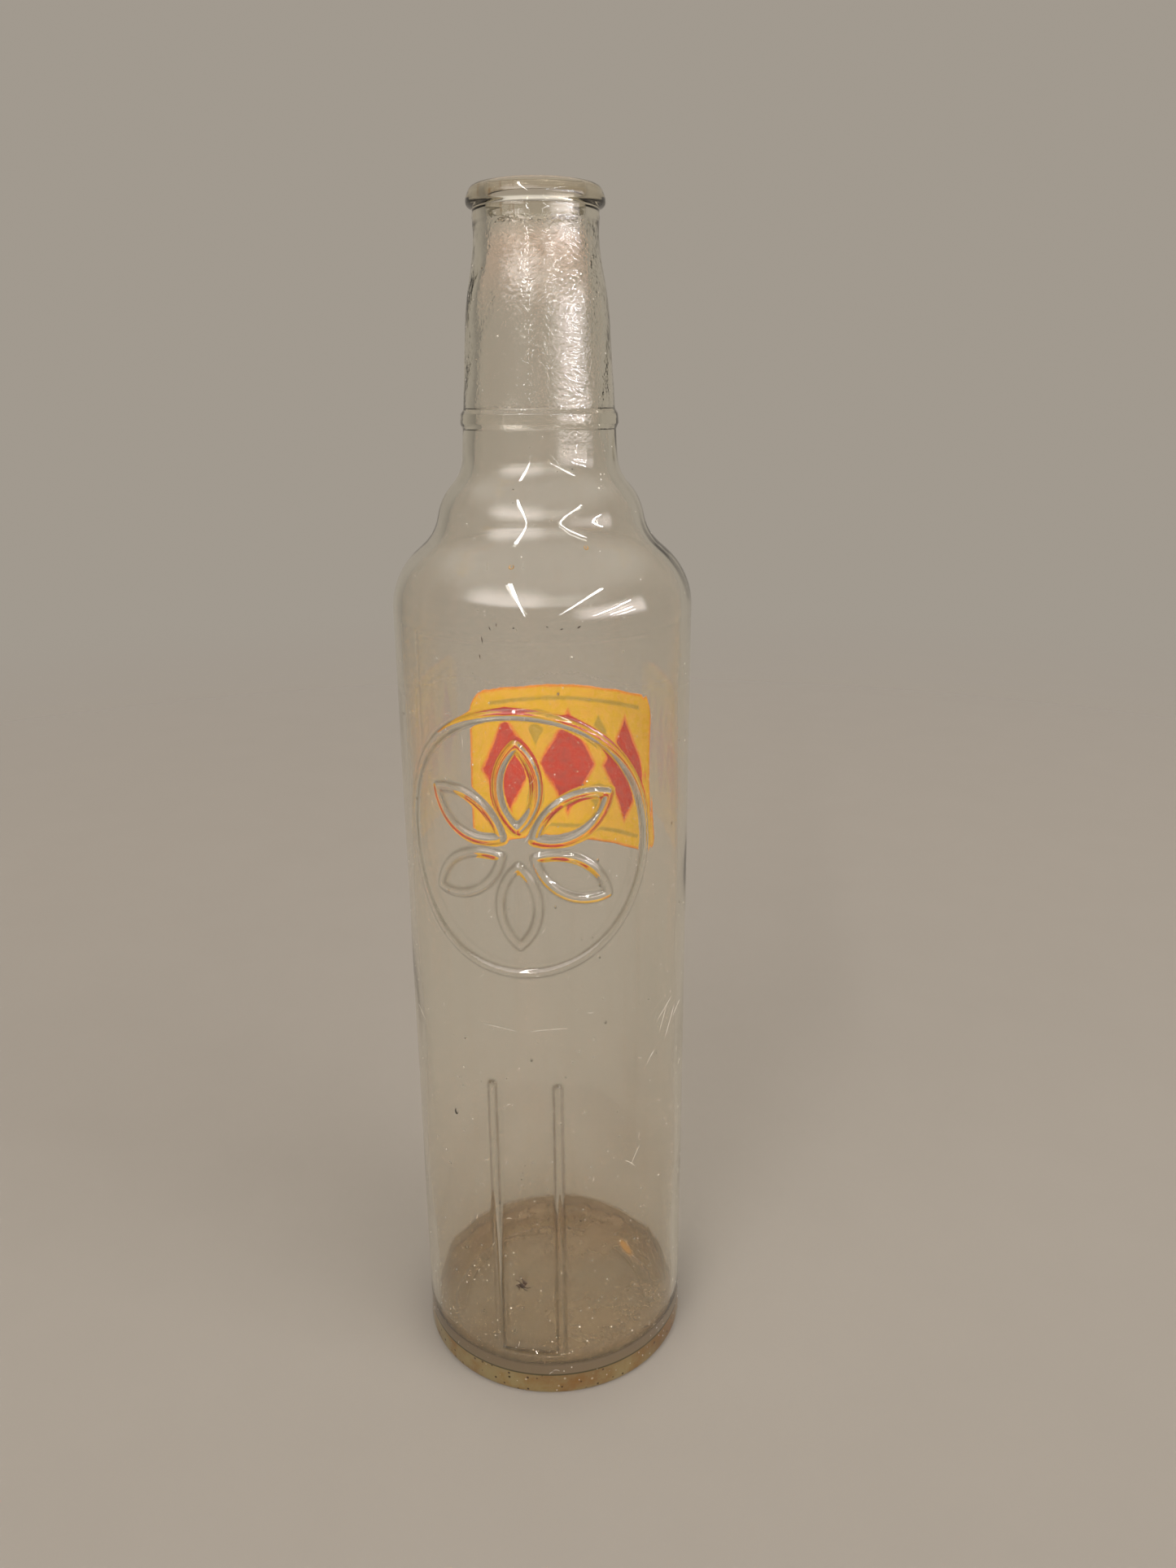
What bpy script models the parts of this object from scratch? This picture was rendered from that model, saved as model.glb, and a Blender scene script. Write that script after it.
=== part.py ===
"""Tall moulded-glass oil bottle with a relief on its front and fired enamel on its back.

Metres, +Z up. The origin is the middle of the base, on the surface that the bottle stands on.
The front, with the raised ring, faces -Y, and the enamel is on the back, at +Y.
"""
import math

import bmesh
import bpy
import numpy as np
from mathutils import Vector

MM = 0.001

# Body and base
BODY_RADIUS = 40.0 * MM
BODY_RISE = 236.8 * MM  # from the table to where body and shoulder would meet unrounded
BODY_WALL = 2.8 * MM
HEEL_FILLET = 1.8 * MM
BEARING_RING_WIDTH = 9.0 * MM  # the flat ring that stands on the table, with its heel rounding
PUSH_UP_DEPTH = 2.8 * MM
PUSH_UP_SLOPE = 4.0 * MM  # how far in the wall of the push-up leans
PUSH_UP_FILLET = 5.0 * MM
BEARING_RING_FILLET = 0.8 * MM
FLOOR_THICKNESS = 5.0 * MM
FLOOR_DISH = 1.6 * MM  # the inner floor is that much lower at the wall than in the middle
FLOOR_DOME_RADIUS = 20.0 * MM
FLOOR_DOME_FILLET = 40.0 * MM
FLOOR_CORNER_FILLET = 4.5 * MM

# Shoulder, in two swells with a hollow line between them
SHOULDER_WALL = 2.8 * MM
SHOULDER_FILLET = 19.7 * MM
HOLLOW_RADIUS = 28.1 * MM
HOLLOW_RISE = 10.4 * MM
HOLLOW_FILLET = 12.3 * MM
SWELL_RADIUS = 26.0 * MM
SWELL_RISE = 9.4 * MM
SWELL_FILLET = 16.3 * MM
SHOULDER_TOP_RISE = 5.9 * MM

# Neck, with a raised band low down and a taper under the lip
NECK_RADIUS = 20.5 * MM
NECK_FOOT_FILLET = 11.8 * MM
NECK_WALL = 3.4 * MM
NECK_TAPER_START_RADIUS = 17.95 * MM
NECK_TAPER_START_RISE = 41.0 * MM
NECK_TAPER_START_FILLET = 80.0 * MM
THROAT_RADIUS = 15.6 * MM
THROAT_RISE = 12.3 * MM
THROAT_FILLET = 45.0 * MM
THROAT_LENGTH = 8.6 * MM
THROAT_WALL = 3.3 * MM
NECK_BAND_RISE = 10.8 * MM
NECK_BAND_HEIGHT = 4.8 * MM
NECK_BAND_PROUD = 0.7 * MM
NECK_BAND_SLOPE = 1.2 * MM
NECK_BAND_FILLET = 1.0 * MM

# Lip
LIP_PROUD = 1.6 * MM
LIP_HEIGHT = 5.2 * MM
LIP_UNDERCUT = 0.8 * MM
LIP_UNDER_FILLET = 1.5 * MM
LIP_TOP_FILLET = 2.3 * MM
MOUTH_FILLET = 1.0 * MM

# Relief on the front
RELIEF_PROUD = 0.85 * MM
RELIEF_BEAD_RADIUS = 1.5 * MM
RELIEF_MIDDLE_HEIGHT = 172.7 * MM
RING_RADIUS = 34.8 * MM
PETAL_COUNT = 6
PETAL_INNER_RADIUS = 5.0 * MM
PETAL_LENGTH = 22.0 * MM
PETAL_HALF_WIDTH = 5.0 * MM
STRIP_HALF_WIDTH = 9.1 * MM
STRIP_BOTTOM = 15.0 * MM
STRIP_TOP = 103.6 * MM
STRIP_CORNER_FILLET = 1.6 * MM
SEAM_OFFSET = 29.3 * MM  # along the wall, to the left of the front's middle line
SEAM_TOP = 225.0 * MM
SEAM_BEAD_RADIUS = 1.0 * MM
SEAM_PROUD = 0.3 * MM
STRIP_FOOT_STEPS = 4

# Enamel on the back
ENAMEL_GAP = 0.3 * MM
ENAMEL_THICKNESS = 0.15 * MM
ENAMEL_MIDDLE_HEIGHT = 172.0 * MM
LOZENGE_COUNT = 3
LOZENGE_HALF_WIDTH = 8.6 * MM
LOZENGE_HALF_HEIGHT = 16.5 * MM
LOZENGE_SPACING = 3.3 * MM  # between the side corners of neighbours
PANEL_SIDE_MARGIN = 4.4 * MM
PANEL_END_MARGIN = 8.5 * MM
PANEL_CORNER_RADIUS = 7.0 * MM
SMALL_LOZENGE_HALF_WIDTH = 2.8 * MM
SMALL_LOZENGE_HALF_HEIGHT = 5.2 * MM
SMALL_LOZENGE_OFFSET = 11.0 * MM
RULE_INSET = 3.6 * MM
RULE_WIDTH = 1.3 * MM

# Fineness of the mesh
SEGMENTS = 48
ARC_TOLERANCE = 0.1 * MM
BODY_BANDS = 6
BEAD_SIDES = 8
RING_STEPS = 48
PETAL_ARC_STEPS = 6
MERGE_DISTANCE = 0.00001
PARALLEL = 0.001
SMOOTH_ANGLE = math.radians(35.0)


def clear_scene():
    for item in list(bpy.data.objects):
        bpy.data.objects.remove(item, do_unlink=True)


def make_material(name, colour, roughness, transmission=0.0):
    material = bpy.data.materials.new(name)
    material.use_nodes = True
    shader = material.node_tree.nodes["Principled BSDF"]
    shader.inputs["Base Color"].default_value = (*colour, 1.0)
    shader.inputs["Roughness"].default_value = roughness
    shader.inputs["Metallic"].default_value = 0.0
    shader.inputs["Transmission Weight"].default_value = transmission
    material.diffuse_color = (*colour, 1.0)
    return material


def add_object(name, vertices, faces, material=None):
    mesh = bpy.data.meshes.new(name)
    mesh.from_pydata([tuple(v) for v in vertices], [], faces)
    mesh.validate()
    mesh.shade_smooth()
    mesh.set_sharp_from_angle(angle=SMOOTH_ANGLE)
    item = bpy.data.objects.new(name, mesh)
    bpy.context.collection.objects.link(item)
    if material is not None:
        mesh.materials.append(material)
    return item


def rounded_outline(corners):
    """Points along a run of straight lines whose corners (r, z, fillet) are rounded with arcs.

    Where two fillets would meet on a short line, both are cut down in proportion.
    """
    points = [Vector((r, z)) for r, z, _ in corners]
    lengths = [(b - a).length for a, b in zip(points, points[1:])]
    turns = [0.0] * len(points)
    tangents = [0.0] * len(points)
    for i in range(1, len(points) - 1):
        before = (points[i] - points[i - 1]).normalized()
        after = (points[i + 1] - points[i]).normalized()
        turns[i] = before.angle(after)
        tangents[i] = corners[i][2] * math.tan(turns[i] / 2.0)
    outline = [points[0]]
    for i in range(1, len(points) - 1):
        room_before = lengths[i - 1] / max(tangents[i - 1] + tangents[i], MERGE_DISTANCE)
        room_after = lengths[i] / max(tangents[i] + tangents[i + 1], MERGE_DISTANCE)
        tangent = tangents[i] * min(1.0, room_before, room_after)
        outline.extend(corner_arc(points[i - 1], points[i], points[i + 1], tangent, turns[i]))
    outline.append(points[-1])
    kept = [outline[0]]
    for point in outline[1:]:
        if (point - kept[-1]).length > MERGE_DISTANCE:
            kept.append(point)
    return kept


def corner_arc(before, corner, after, tangent, turn):
    """Points of the arc that leaves one line and joins the next, each a tangent length from the corner."""
    if tangent < MERGE_DISTANCE:
        return [corner]
    start = corner + (before - corner).normalized() * tangent
    end = corner + (after - corner).normalized() * tangent
    inward = ((before - corner).normalized() + (after - corner).normalized()).normalized()
    radius = tangent / math.tan(turn / 2.0)
    centre = corner + inward * math.hypot(radius, tangent)
    flattest = max(1.0 - ARC_TOLERANCE / radius, 0.0)
    steps = max(1, math.ceil(turn / (2.0 * math.acos(flattest))))
    points = []
    for k in range(steps + 1):
        share = math.sin(turn * k / steps) / math.sin(turn)
        rest = math.sin(turn * (1.0 - k / steps)) / math.sin(turn)
        points.append(centre + (start - centre) * rest + (end - centre) * share)
    return points


def inset_corners(corners, walls):
    """The inner wall's corners: each line of the outside moved inwards by its own wall thickness.

    A rounding that bulges outwards loses the wall's thickness, and a hollow one gains it.
    """
    lines = []
    for (r0, z0, _), (r1, z1, _), wall in zip(corners, corners[1:], walls):
        along = (Vector((r1, z1)) - Vector((r0, z0))).normalized()
        lines.append((Vector((r0, z0)) + Vector((-along.y, along.x)) * wall, along))
    inner = []
    for i, (line, next_line) in enumerate(zip(lines, lines[1:])):
        cross = line[1].cross(next_line[1])
        meeting = next_line[0]
        if abs(cross) > PARALLEL:
            travel = (next_line[0] - line[0]).cross(next_line[1]) / cross
            meeting = line[0] + line[1] * travel
        sense = 1.0 if cross > 0.0 else -1.0
        fillet = max(corners[i + 1][2] - sense * walls[i], MERGE_DISTANCE)
        inner.append((meeting.x, meeting.y, fillet))
    return inner


def glass_outline():
    """The glass's section, from the middle of its underside round the lip to its inner floor."""
    bearing_inner = BODY_RADIUS - BEARING_RING_WIDTH
    hollow_z = BODY_RISE + HOLLOW_RISE
    swell_z = hollow_z + SWELL_RISE
    neck_z = swell_z + SHOULDER_TOP_RISE
    taper_z = neck_z + NECK_TAPER_START_RISE
    throat_z = taper_z + THROAT_RISE
    lip_z = throat_z + THROAT_LENGTH
    top_z = lip_z + LIP_HEIGHT
    lip_radius = THROAT_RADIUS + LIP_PROUD
    mouth_radius = THROAT_RADIUS - THROAT_WALL

    underside = [
        (0.0, PUSH_UP_DEPTH, 0.0),
        (bearing_inner - PUSH_UP_SLOPE, PUSH_UP_DEPTH, PUSH_UP_FILLET),
        (bearing_inner, 0.0, BEARING_RING_FILLET),
        (BODY_RADIUS, 0.0, HEEL_FILLET),
    ]
    body = [
        (BODY_RADIUS, BODY_RISE, SHOULDER_FILLET),
        (HOLLOW_RADIUS, hollow_z, HOLLOW_FILLET),
        (SWELL_RADIUS, swell_z, SWELL_FILLET),
        (NECK_RADIUS, neck_z, NECK_FOOT_FILLET),
    ]
    neck = [
        (NECK_TAPER_START_RADIUS, taper_z, NECK_TAPER_START_FILLET),
        (THROAT_RADIUS, throat_z, THROAT_FILLET),
    ]

    def neck_radius_at(rise):
        return NECK_RADIUS + (NECK_TAPER_START_RADIUS - NECK_RADIUS) * rise / NECK_TAPER_START_RISE

    band = []
    for rise, proud in (
        (NECK_BAND_RISE, 0.0),
        (NECK_BAND_RISE + NECK_BAND_SLOPE, NECK_BAND_PROUD),
        (NECK_BAND_RISE + NECK_BAND_HEIGHT - NECK_BAND_SLOPE, NECK_BAND_PROUD),
        (NECK_BAND_RISE + NECK_BAND_HEIGHT, 0.0),
    ):
        band.append((neck_radius_at(rise) + proud, neck_z + rise, NECK_BAND_FILLET))
    lip = [
        (THROAT_RADIUS, lip_z, 0.0),
        (lip_radius, lip_z + LIP_UNDERCUT, LIP_UNDER_FILLET),
        (lip_radius, top_z, LIP_TOP_FILLET),
        (mouth_radius, top_z, MOUTH_FILLET),
    ]
    wall_lines = [(BODY_RADIUS, 0.0, 0.0)] + body + neck + [(THROAT_RADIUS, top_z, 0.0)]
    walls = [BODY_WALL] + [SHOULDER_WALL] * (len(body) - 1) + [NECK_WALL] * len(neck) + [THROAT_WALL]
    inside = inset_corners(wall_lines, walls)
    floor_z = PUSH_UP_DEPTH + FLOOR_THICKNESS
    floor = [
        (BODY_RADIUS - BODY_WALL, floor_z - FLOOR_DISH, FLOOR_CORNER_FILLET),
        (FLOOR_DOME_RADIUS, floor_z, FLOOR_DOME_FILLET),
        (0.0, floor_z, 0.0),
    ]
    corners = underside + body + band + neck + lip + inside[::-1] + floor
    return rounded_outline(corners)


def split_long_runs(outline):
    """The outline with the long straight run of the body's outside cut into equal bands."""
    longest = (BODY_RISE - HEEL_FILLET) / BODY_BANDS
    points = [outline[0]]
    for start, end in zip(outline, outline[1:]):
        outside = min(start.x, end.x) > BODY_RADIUS - BODY_WALL / 2.0
        pieces = max(1, round((end - start).length / longest)) if outside else 1
        for k in range(1, pieces + 1):
            points.append(start.lerp(end, k / pieces))
    return points


def turned_body(name, outline, material):
    """A solid of revolution round Z from an outline that starts and ends on the axis."""
    angles = math.pi / 2.0 + np.arange(SEGMENTS) * 2.0 * math.pi / SEGMENTS
    vertices = [(0.0, 0.0, outline[0].y)]
    for point in outline[1:-1]:
        for angle in angles:
            vertices.append((point.x * math.cos(angle), point.x * math.sin(angle), point.y))
    vertices.append((0.0, 0.0, outline[-1].y))
    last = len(vertices) - 1
    rings = len(outline) - 2

    def at(ring, segment):
        return 1 + ring * SEGMENTS + segment % SEGMENTS

    faces = []
    for j in range(SEGMENTS):
        faces.append((0, at(0, j + 1), at(0, j)))
        faces.append((last, at(rings - 1, j), at(rings - 1, j + 1)))
        for i in range(rings - 1):
            faces.append((at(i, j), at(i, j + 1), at(i + 1, j + 1), at(i + 1, j)))
    return add_object(name, vertices, faces, material)


def wall_direction(offset):
    """Outward direction at the front's wall, for an offset along it, to the right seen from outside."""
    angle = offset / BODY_RADIUS
    return Vector((math.sin(angle), -math.cos(angle), 0.0))


def relief_bead(name, route, closed, bead_radius, proud):
    """A round bead along a route of (offset, height) points, sunk to half the front wall's thickness."""
    count = len(route)
    depth = BODY_RADIUS + proud - bead_radius
    root = bead_radius - proud - BODY_WALL / 2.0
    centres = []
    for offset, height in route:
        centres.append(wall_direction(offset) * depth + Vector((0.0, 0.0, height)))
    vertices = []
    for i, centre in enumerate(centres):
        if closed:
            along = centres[(i + 1) % count] - centres[i - 1]
        else:
            along = centres[min(i + 1, count - 1)] - centres[max(i - 1, 0)]
        out = wall_direction(route[i][0])
        side = along.cross(out).normalized()
        for k in range(BEAD_SIDES):
            angle = 2.0 * math.pi * k / BEAD_SIDES
            height = max(bead_radius * math.cos(angle), root)
            vertices.append(centre + out * height + side * bead_radius * math.sin(angle))
    faces = []
    for i in range(count if closed else count - 1):
        for k in range(BEAD_SIDES):
            a = i * BEAD_SIDES + k
            b = i * BEAD_SIDES + (k + 1) % BEAD_SIDES
            c = (i + 1) % count * BEAD_SIDES + (k + 1) % BEAD_SIDES
            d = (i + 1) % count * BEAD_SIDES + k
            faces.append((a, b, c, d))
    if not closed:
        faces.append(tuple(reversed(range(BEAD_SIDES))))
        faces.append(tuple(range((count - 1) * BEAD_SIDES, count * BEAD_SIDES)))
    bead = add_object(name, vertices, faces)
    bead.hide_render = True
    bead.display_type = "WIRE"
    return bead


def ring_route():
    route = []
    for k in range(RING_STEPS):
        angle = 2.0 * math.pi * k / RING_STEPS
        route.append((RING_RADIUS * math.cos(angle), RELIEF_MIDDLE_HEIGHT + RING_RADIUS * math.sin(angle)))
    return route


def petal_route(number):
    """A closed leaf of two equal arcs that meet at its tips, turned about the ring's middle."""
    half_length = PETAL_LENGTH / 2.0
    arc_radius = (half_length ** 2 + PETAL_HALF_WIDTH ** 2) / (2.0 * PETAL_HALF_WIDTH)
    half_sweep = math.asin(min(1.0, half_length / arc_radius))
    middle = PETAL_INNER_RADIUS + half_length
    leaf = []
    for sense in (1.0, -1.0):
        for k in range(PETAL_ARC_STEPS):
            angle = sense * half_sweep * (2.0 * k / PETAL_ARC_STEPS - 1.0)
            across = sense * (arc_radius * math.cos(angle) - arc_radius + PETAL_HALF_WIDTH)
            leaf.append((middle + arc_radius * math.sin(angle), across))
    turn = 2.0 * math.pi * (number + 0.5) / PETAL_COUNT
    route = []
    for x, y in leaf:
        offset = x * math.cos(turn) - y * math.sin(turn)
        height = x * math.sin(turn) + y * math.cos(turn)
        route.append((offset, RELIEF_MIDDLE_HEIGHT + height))
    return route


def strip_route():
    """Down one side of the sight strip, across its foot and up the other side, open at the top."""
    corners = [(-STRIP_HALF_WIDTH, STRIP_TOP, 0.0)]
    for k in range(STRIP_FOOT_STEPS + 1):
        offset = STRIP_HALF_WIDTH * (2.0 * k / STRIP_FOOT_STEPS - 1.0)
        corners.append((offset, STRIP_BOTTOM, STRIP_CORNER_FILLET))
    corners.append((STRIP_HALF_WIDTH, STRIP_TOP, 0.0))
    return [tuple(point) for point in rounded_outline(corners)]


def seam_route():
    """The thin upright mould line, from under the shoulder down to the ring."""
    reach = max(RING_RADIUS ** 2 - SEAM_OFFSET ** 2, 0.0)
    bottom = RELIEF_MIDDLE_HEIGHT + math.sqrt(reach)
    return [(-SEAM_OFFSET, SEAM_TOP), (-SEAM_OFFSET, bottom)]


def add_union(target, tools):
    for tool in tools:
        union = target.modifiers.new("join_" + tool.name, "BOOLEAN")
        union.operation = "UNION"
        union.solver = "EXACT"
        union.object = tool


def glass_bottle():
    glass = make_material("glass", (0.86, 0.85, 0.78), 0.03, transmission=1.0)
    bottle = turned_body("glass_bottle", split_long_runs(glass_outline()), glass)
    beads = [relief_bead("ring_bead", ring_route(), True, RELIEF_BEAD_RADIUS, RELIEF_PROUD)]
    for number in range(PETAL_COUNT):
        name = "petal_bead_%d" % (number + 1)
        beads.append(relief_bead(name, petal_route(number), True, RELIEF_BEAD_RADIUS, RELIEF_PROUD))
    beads.append(relief_bead("strip_bead", strip_route(), False, RELIEF_BEAD_RADIUS, RELIEF_PROUD))
    beads.append(relief_bead("seam_bead", seam_route(), False, SEAM_BEAD_RADIUS, SEAM_PROUD))
    add_union(bottle, beads)
    return bottle


def lozenge(middle, half_width, half_height):
    x, y = middle
    return [(x, y - half_height), (x + half_width, y), (x, y + half_height), (x - half_width, y)]


def lozenge_middles():
    pitch = 2.0 * LOZENGE_HALF_WIDTH + LOZENGE_SPACING
    first = -(LOZENGE_COUNT - 1) / 2.0 * pitch
    return [(first + k * pitch, 0.0) for k in range(LOZENGE_COUNT)]


def panel_corner():
    """The yellow panel's half width and half height, from the lozenges and its margins."""
    half_width = lozenge_middles()[-1][0] + LOZENGE_HALF_WIDTH + PANEL_SIDE_MARGIN
    return half_width, LOZENGE_HALF_HEIGHT + PANEL_END_MARGIN


def panel_half(side):
    """The yellow panel above (side 1) or below (side -1) its middle line, notched by half of each window.

    A window's four sides lie the enamel's gap outside its lozenge.
    """
    growth = 1.0 + ENAMEL_GAP * math.hypot(LOZENGE_HALF_WIDTH, LOZENGE_HALF_HEIGHT) / (
        LOZENGE_HALF_WIDTH * LOZENGE_HALF_HEIGHT
    )
    half_width, half_height = panel_corner()
    edge = rounded_outline([
        (half_width, 0.0, 0.0),
        (half_width, side * half_height, PANEL_CORNER_RADIUS),
        (-half_width, side * half_height, PANEL_CORNER_RADIUS),
        (-half_width, 0.0, 0.0),
    ])
    outline = [tuple(point) for point in edge]
    for x, y in lozenge_middles():
        outline.append((x - LOZENGE_HALF_WIDTH * growth, y))
        outline.append((x, y + side * LOZENGE_HALF_HEIGHT * growth))
        outline.append((x + LOZENGE_HALF_WIDTH * growth, y))
    return outline


def wrapped_plate(name, outlines, inner_radius, material):
    """A flat plate laid round the back's wall, given as outlines that meet edge to edge.

    The plate is cut along the wall's upright edges, so its facets lie flat on the wall's own.
    """
    form = bmesh.new()
    for outline in outlines:
        form.faces.new([form.verts.new((x, y, 0.0)) for x, y in outline])
    facet = 2.0 * math.pi / SEGMENTS
    facet_width = facet * BODY_RADIUS
    reach = math.floor(max(abs(vertex.co.x) for vertex in form.verts) / facet_width)
    for k in range(-reach, reach + 1):
        geometry = form.verts[:] + form.edges[:] + form.faces[:]
        place = (k * facet_width, 0.0, 0.0)
        bmesh.ops.bisect_plane(form, geom=geometry, dist=MERGE_DISTANCE, plane_co=place, plane_no=(1.0, 0.0, 0.0))
    bmesh.ops.remove_doubles(form, verts=form.verts[:], dist=MERGE_DISTANCE)
    bmesh.ops.recalc_face_normals(form, faces=form.faces[:])
    grown = bmesh.ops.extrude_face_region(form, geom=form.faces[:], use_keep_orig=True)
    outer = {item for item in grown["geom"] if isinstance(item, bmesh.types.BMVert)}
    for vertex in form.verts:
        radius = inner_radius + (ENAMEL_THICKNESS if vertex in outer else 0.0)
        position = vertex.co.x / facet_width
        first = math.floor(position + MERGE_DISTANCE)
        height = ENAMEL_MIDDLE_HEIGHT + vertex.co.y
        ends = []
        for step in (first, first + 1):
            angle = math.pi / 2.0 - step * facet
            ends.append(Vector((radius * math.cos(angle), radius * math.sin(angle), height)))
        vertex.co = ends[0].lerp(ends[1], position - first)
    bmesh.ops.recalc_face_normals(form, faces=form.faces[:])
    mesh = bpy.data.meshes.new(name)
    form.to_mesh(mesh)
    form.free()
    mesh.shade_smooth()
    mesh.set_sharp_from_angle(angle=SMOOTH_ANGLE)
    mesh.materials.append(material)
    plate = bpy.data.objects.new(name, mesh)
    bpy.context.collection.objects.link(plate)
    return plate


def enamel_yellow_panel():
    yellow = make_material("enamel_yellow", (0.93, 0.55, 0.02), 0.35)
    halves = [panel_half(-1.0), panel_half(1.0)]
    wrapped_plate("enamel_yellow_panel", halves, BODY_RADIUS + ENAMEL_GAP, yellow)


def enamel_red_lozenges():
    """The large lozenges, fired on the glass in the panel's windows."""
    red = make_material("enamel_red", (0.62, 0.05, 0.02), 0.35)
    for number, middle in enumerate(lozenge_middles(), 1):
        outline = lozenge(middle, LOZENGE_HALF_WIDTH, LOZENGE_HALF_HEIGHT)
        wrapped_plate("enamel_red_lozenge_%d" % number, [outline], BODY_RADIUS + ENAMEL_GAP, red)


def enamel_dark_figures():
    """Two level rules and the small lozenges between the large ones, printed over the yellow."""
    dark = make_material("enamel_dark", (0.03, 0.03, 0.04), 0.4)
    over_yellow = BODY_RADIUS + ENAMEL_GAP + ENAMEL_THICKNESS + ENAMEL_GAP
    half_width, half_height = panel_corner()
    rule_end = half_width - PANEL_CORNER_RADIUS
    rule_far = half_height - RULE_INSET
    rule_near = rule_far - RULE_WIDTH
    middles = lozenge_middles()
    for place, side in (("lower", -1.0), ("upper", 1.0)):
        near = side * rule_near
        far = side * rule_far
        outline = [(-rule_end, near), (rule_end, near), (rule_end, far), (-rule_end, far)]
        wrapped_plate("enamel_dark_rule_" + place, [outline], over_yellow, dark)
        for number, (left, right) in enumerate(zip(middles, middles[1:]), 1):
            middle = ((left[0] + right[0]) / 2.0, side * SMALL_LOZENGE_OFFSET)
            outline = lozenge(middle, SMALL_LOZENGE_HALF_WIDTH, SMALL_LOZENGE_HALF_HEIGHT)
            wrapped_plate("enamel_dark_lozenge_%s_%d" % (place, number), [outline], over_yellow, dark)


def build():
    clear_scene()
    glass_bottle()
    enamel_yellow_panel()
    enamel_red_lozenges()
    enamel_dark_figures()


build()
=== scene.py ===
"""Looks of the tall moulded-glass oil bottle: glass, fired enamel, dried oil, dust and wear.

Shapes are worked out in millimetres and become metres where a mesh is made.
An angle round the bottle is 0 at the front and grows to the right, seen from the front.
"""
import math

import bmesh
import bpy
import numpy as np
from mathutils import Matrix, Vector


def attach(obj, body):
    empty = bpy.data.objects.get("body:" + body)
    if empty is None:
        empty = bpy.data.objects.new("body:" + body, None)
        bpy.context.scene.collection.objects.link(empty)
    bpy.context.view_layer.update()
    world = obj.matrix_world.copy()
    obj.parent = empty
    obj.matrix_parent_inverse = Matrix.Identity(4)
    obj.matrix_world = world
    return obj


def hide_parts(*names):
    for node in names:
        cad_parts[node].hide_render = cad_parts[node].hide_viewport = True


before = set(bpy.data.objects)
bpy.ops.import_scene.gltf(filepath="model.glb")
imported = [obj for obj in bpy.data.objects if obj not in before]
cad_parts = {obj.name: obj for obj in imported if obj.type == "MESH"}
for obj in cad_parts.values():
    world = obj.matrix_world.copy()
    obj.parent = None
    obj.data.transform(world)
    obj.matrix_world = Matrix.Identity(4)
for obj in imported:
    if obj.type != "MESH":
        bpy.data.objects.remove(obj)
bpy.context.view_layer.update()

MM = 0.001
FULL_TURN = 2.0 * math.pi

BODY_RADIUS = 40.0
INNER_RADIUS = 37.2
NECK_RADIUS = 15.6
BORE_RADIUS = 12.3
BOTTLE_TOP = 329.6
FLOOR_TOP = 7.8
PUSH_UP = 2.8

# Corners of the glass's section: radius, height and fillet
UNDERSIDE = [(0.0, PUSH_UP, 0.0), (27.0, PUSH_UP, 5.0), (31.0, 0.0, 0.8), (BODY_RADIUS, 0.0, 1.8)]
SHOULDER = [(BODY_RADIUS, 236.8, 19.7), (28.1, 247.2, 12.3), (26.0, 256.6, 16.3), (20.5, 262.5, 11.8)]
NECK_BAND = [(19.83, 273.3, 1.0), (20.45, 274.5, 1.0), (20.3, 276.9, 1.0), (19.53, 278.1, 1.0)]
NECK = [(17.95, 303.5, 80.0), (NECK_RADIUS, 315.8, 45.0), (NECK_RADIUS, 324.4, 0.4)]
LIP = [(17.05, 325.2, 1.2), (17.2, 326.6, 4.0), (15.9, BOTTLE_TOP, 2.0), (BORE_RADIUS, BOTTLE_TOP, 1.0)]
BORE_START = (BORE_RADIUS, 326.5, 0.0)
BORE = [(BORE_RADIUS, 314.95, 48.4), (14.57, 303.07, 76.6), (17.12, 262.02, 14.6)]
INNER_SHOULDER = [(23.43, 255.25, 13.5), (25.57, 245.69, 15.1), (INNER_RADIUS, 235.53, 16.9)]
INNER_FLOOR = [(INNER_RADIUS, 6.2, 2.2), (20.0, FLOOR_TOP, 40.0), (0.0, FLOOR_TOP, 0.0)]
WALL_FOOT = 2.4
WALL_TOP = 226.0

# Relief on the front's wall
RELIEF_PROUD = 0.85
RELIEF_HALF_WIDTH = 1.6
RELIEF_MIDDLE = 172.7
RING_RADIUS = 34.8
PETAL_COUNT = 6
PETAL_INNER_RADIUS = 5.0
PETAL_LENGTH = 22.0
PETAL_HALF_WIDTH = 5.0
STRIP_HALF_WIDTH = 9.1
STRIP_BOTTOM = 15.0
STRIP_TOP = 103.6
STRIP_CORNER = 1.6
SEAM_OFFSET = 29.3
SEAM_TOP = 225.0
SEAM_PROUD = 0.09
SEAM_HALF_WIDTH = 0.8
PLATE_EDGE_OFFSET = 34.6
PLATE_EDGE_FOOT = 162.0
PLATE_EDGE_PROUD = 0.018
PLATE_EDGE_HALF_WIDTH = 0.6
PLATE_TOP_MIDDLE = 2.6
PLATE_TOP_HALF_LENGTH = 32.0
# Band beside the raised lines, darkened by dirt and painted shade: its offset and half width
DIRT_AND_SHADE_OFFSET = 1.15
DIRT_AND_SHADE_HALF_WIDTH = 0.65

# Fine collar line under the lip
COLLAR_HEIGHT = 322.6
COLLAR_PROUD = 0.12
COLLAR_HALF_WIDTH = 0.7

# Bubbles in the wall; the large one's angle in degrees, height and size
BUBBLE_COUNT = 34
BUBBLE_ROWS = 7
BUBBLE_COLUMNS = 10
LARGE_BUBBLE = (-32.0, 90.5, 0.62)

# Spacing of the glass's mesh
FINE_REACH = 37.5
FINE_STEP = 0.5
PLAIN_STEP = 2.6
COARSE_COLUMNS = 112
OUTER_STEP = 0.65
INNER_STEP = 2.6

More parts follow.
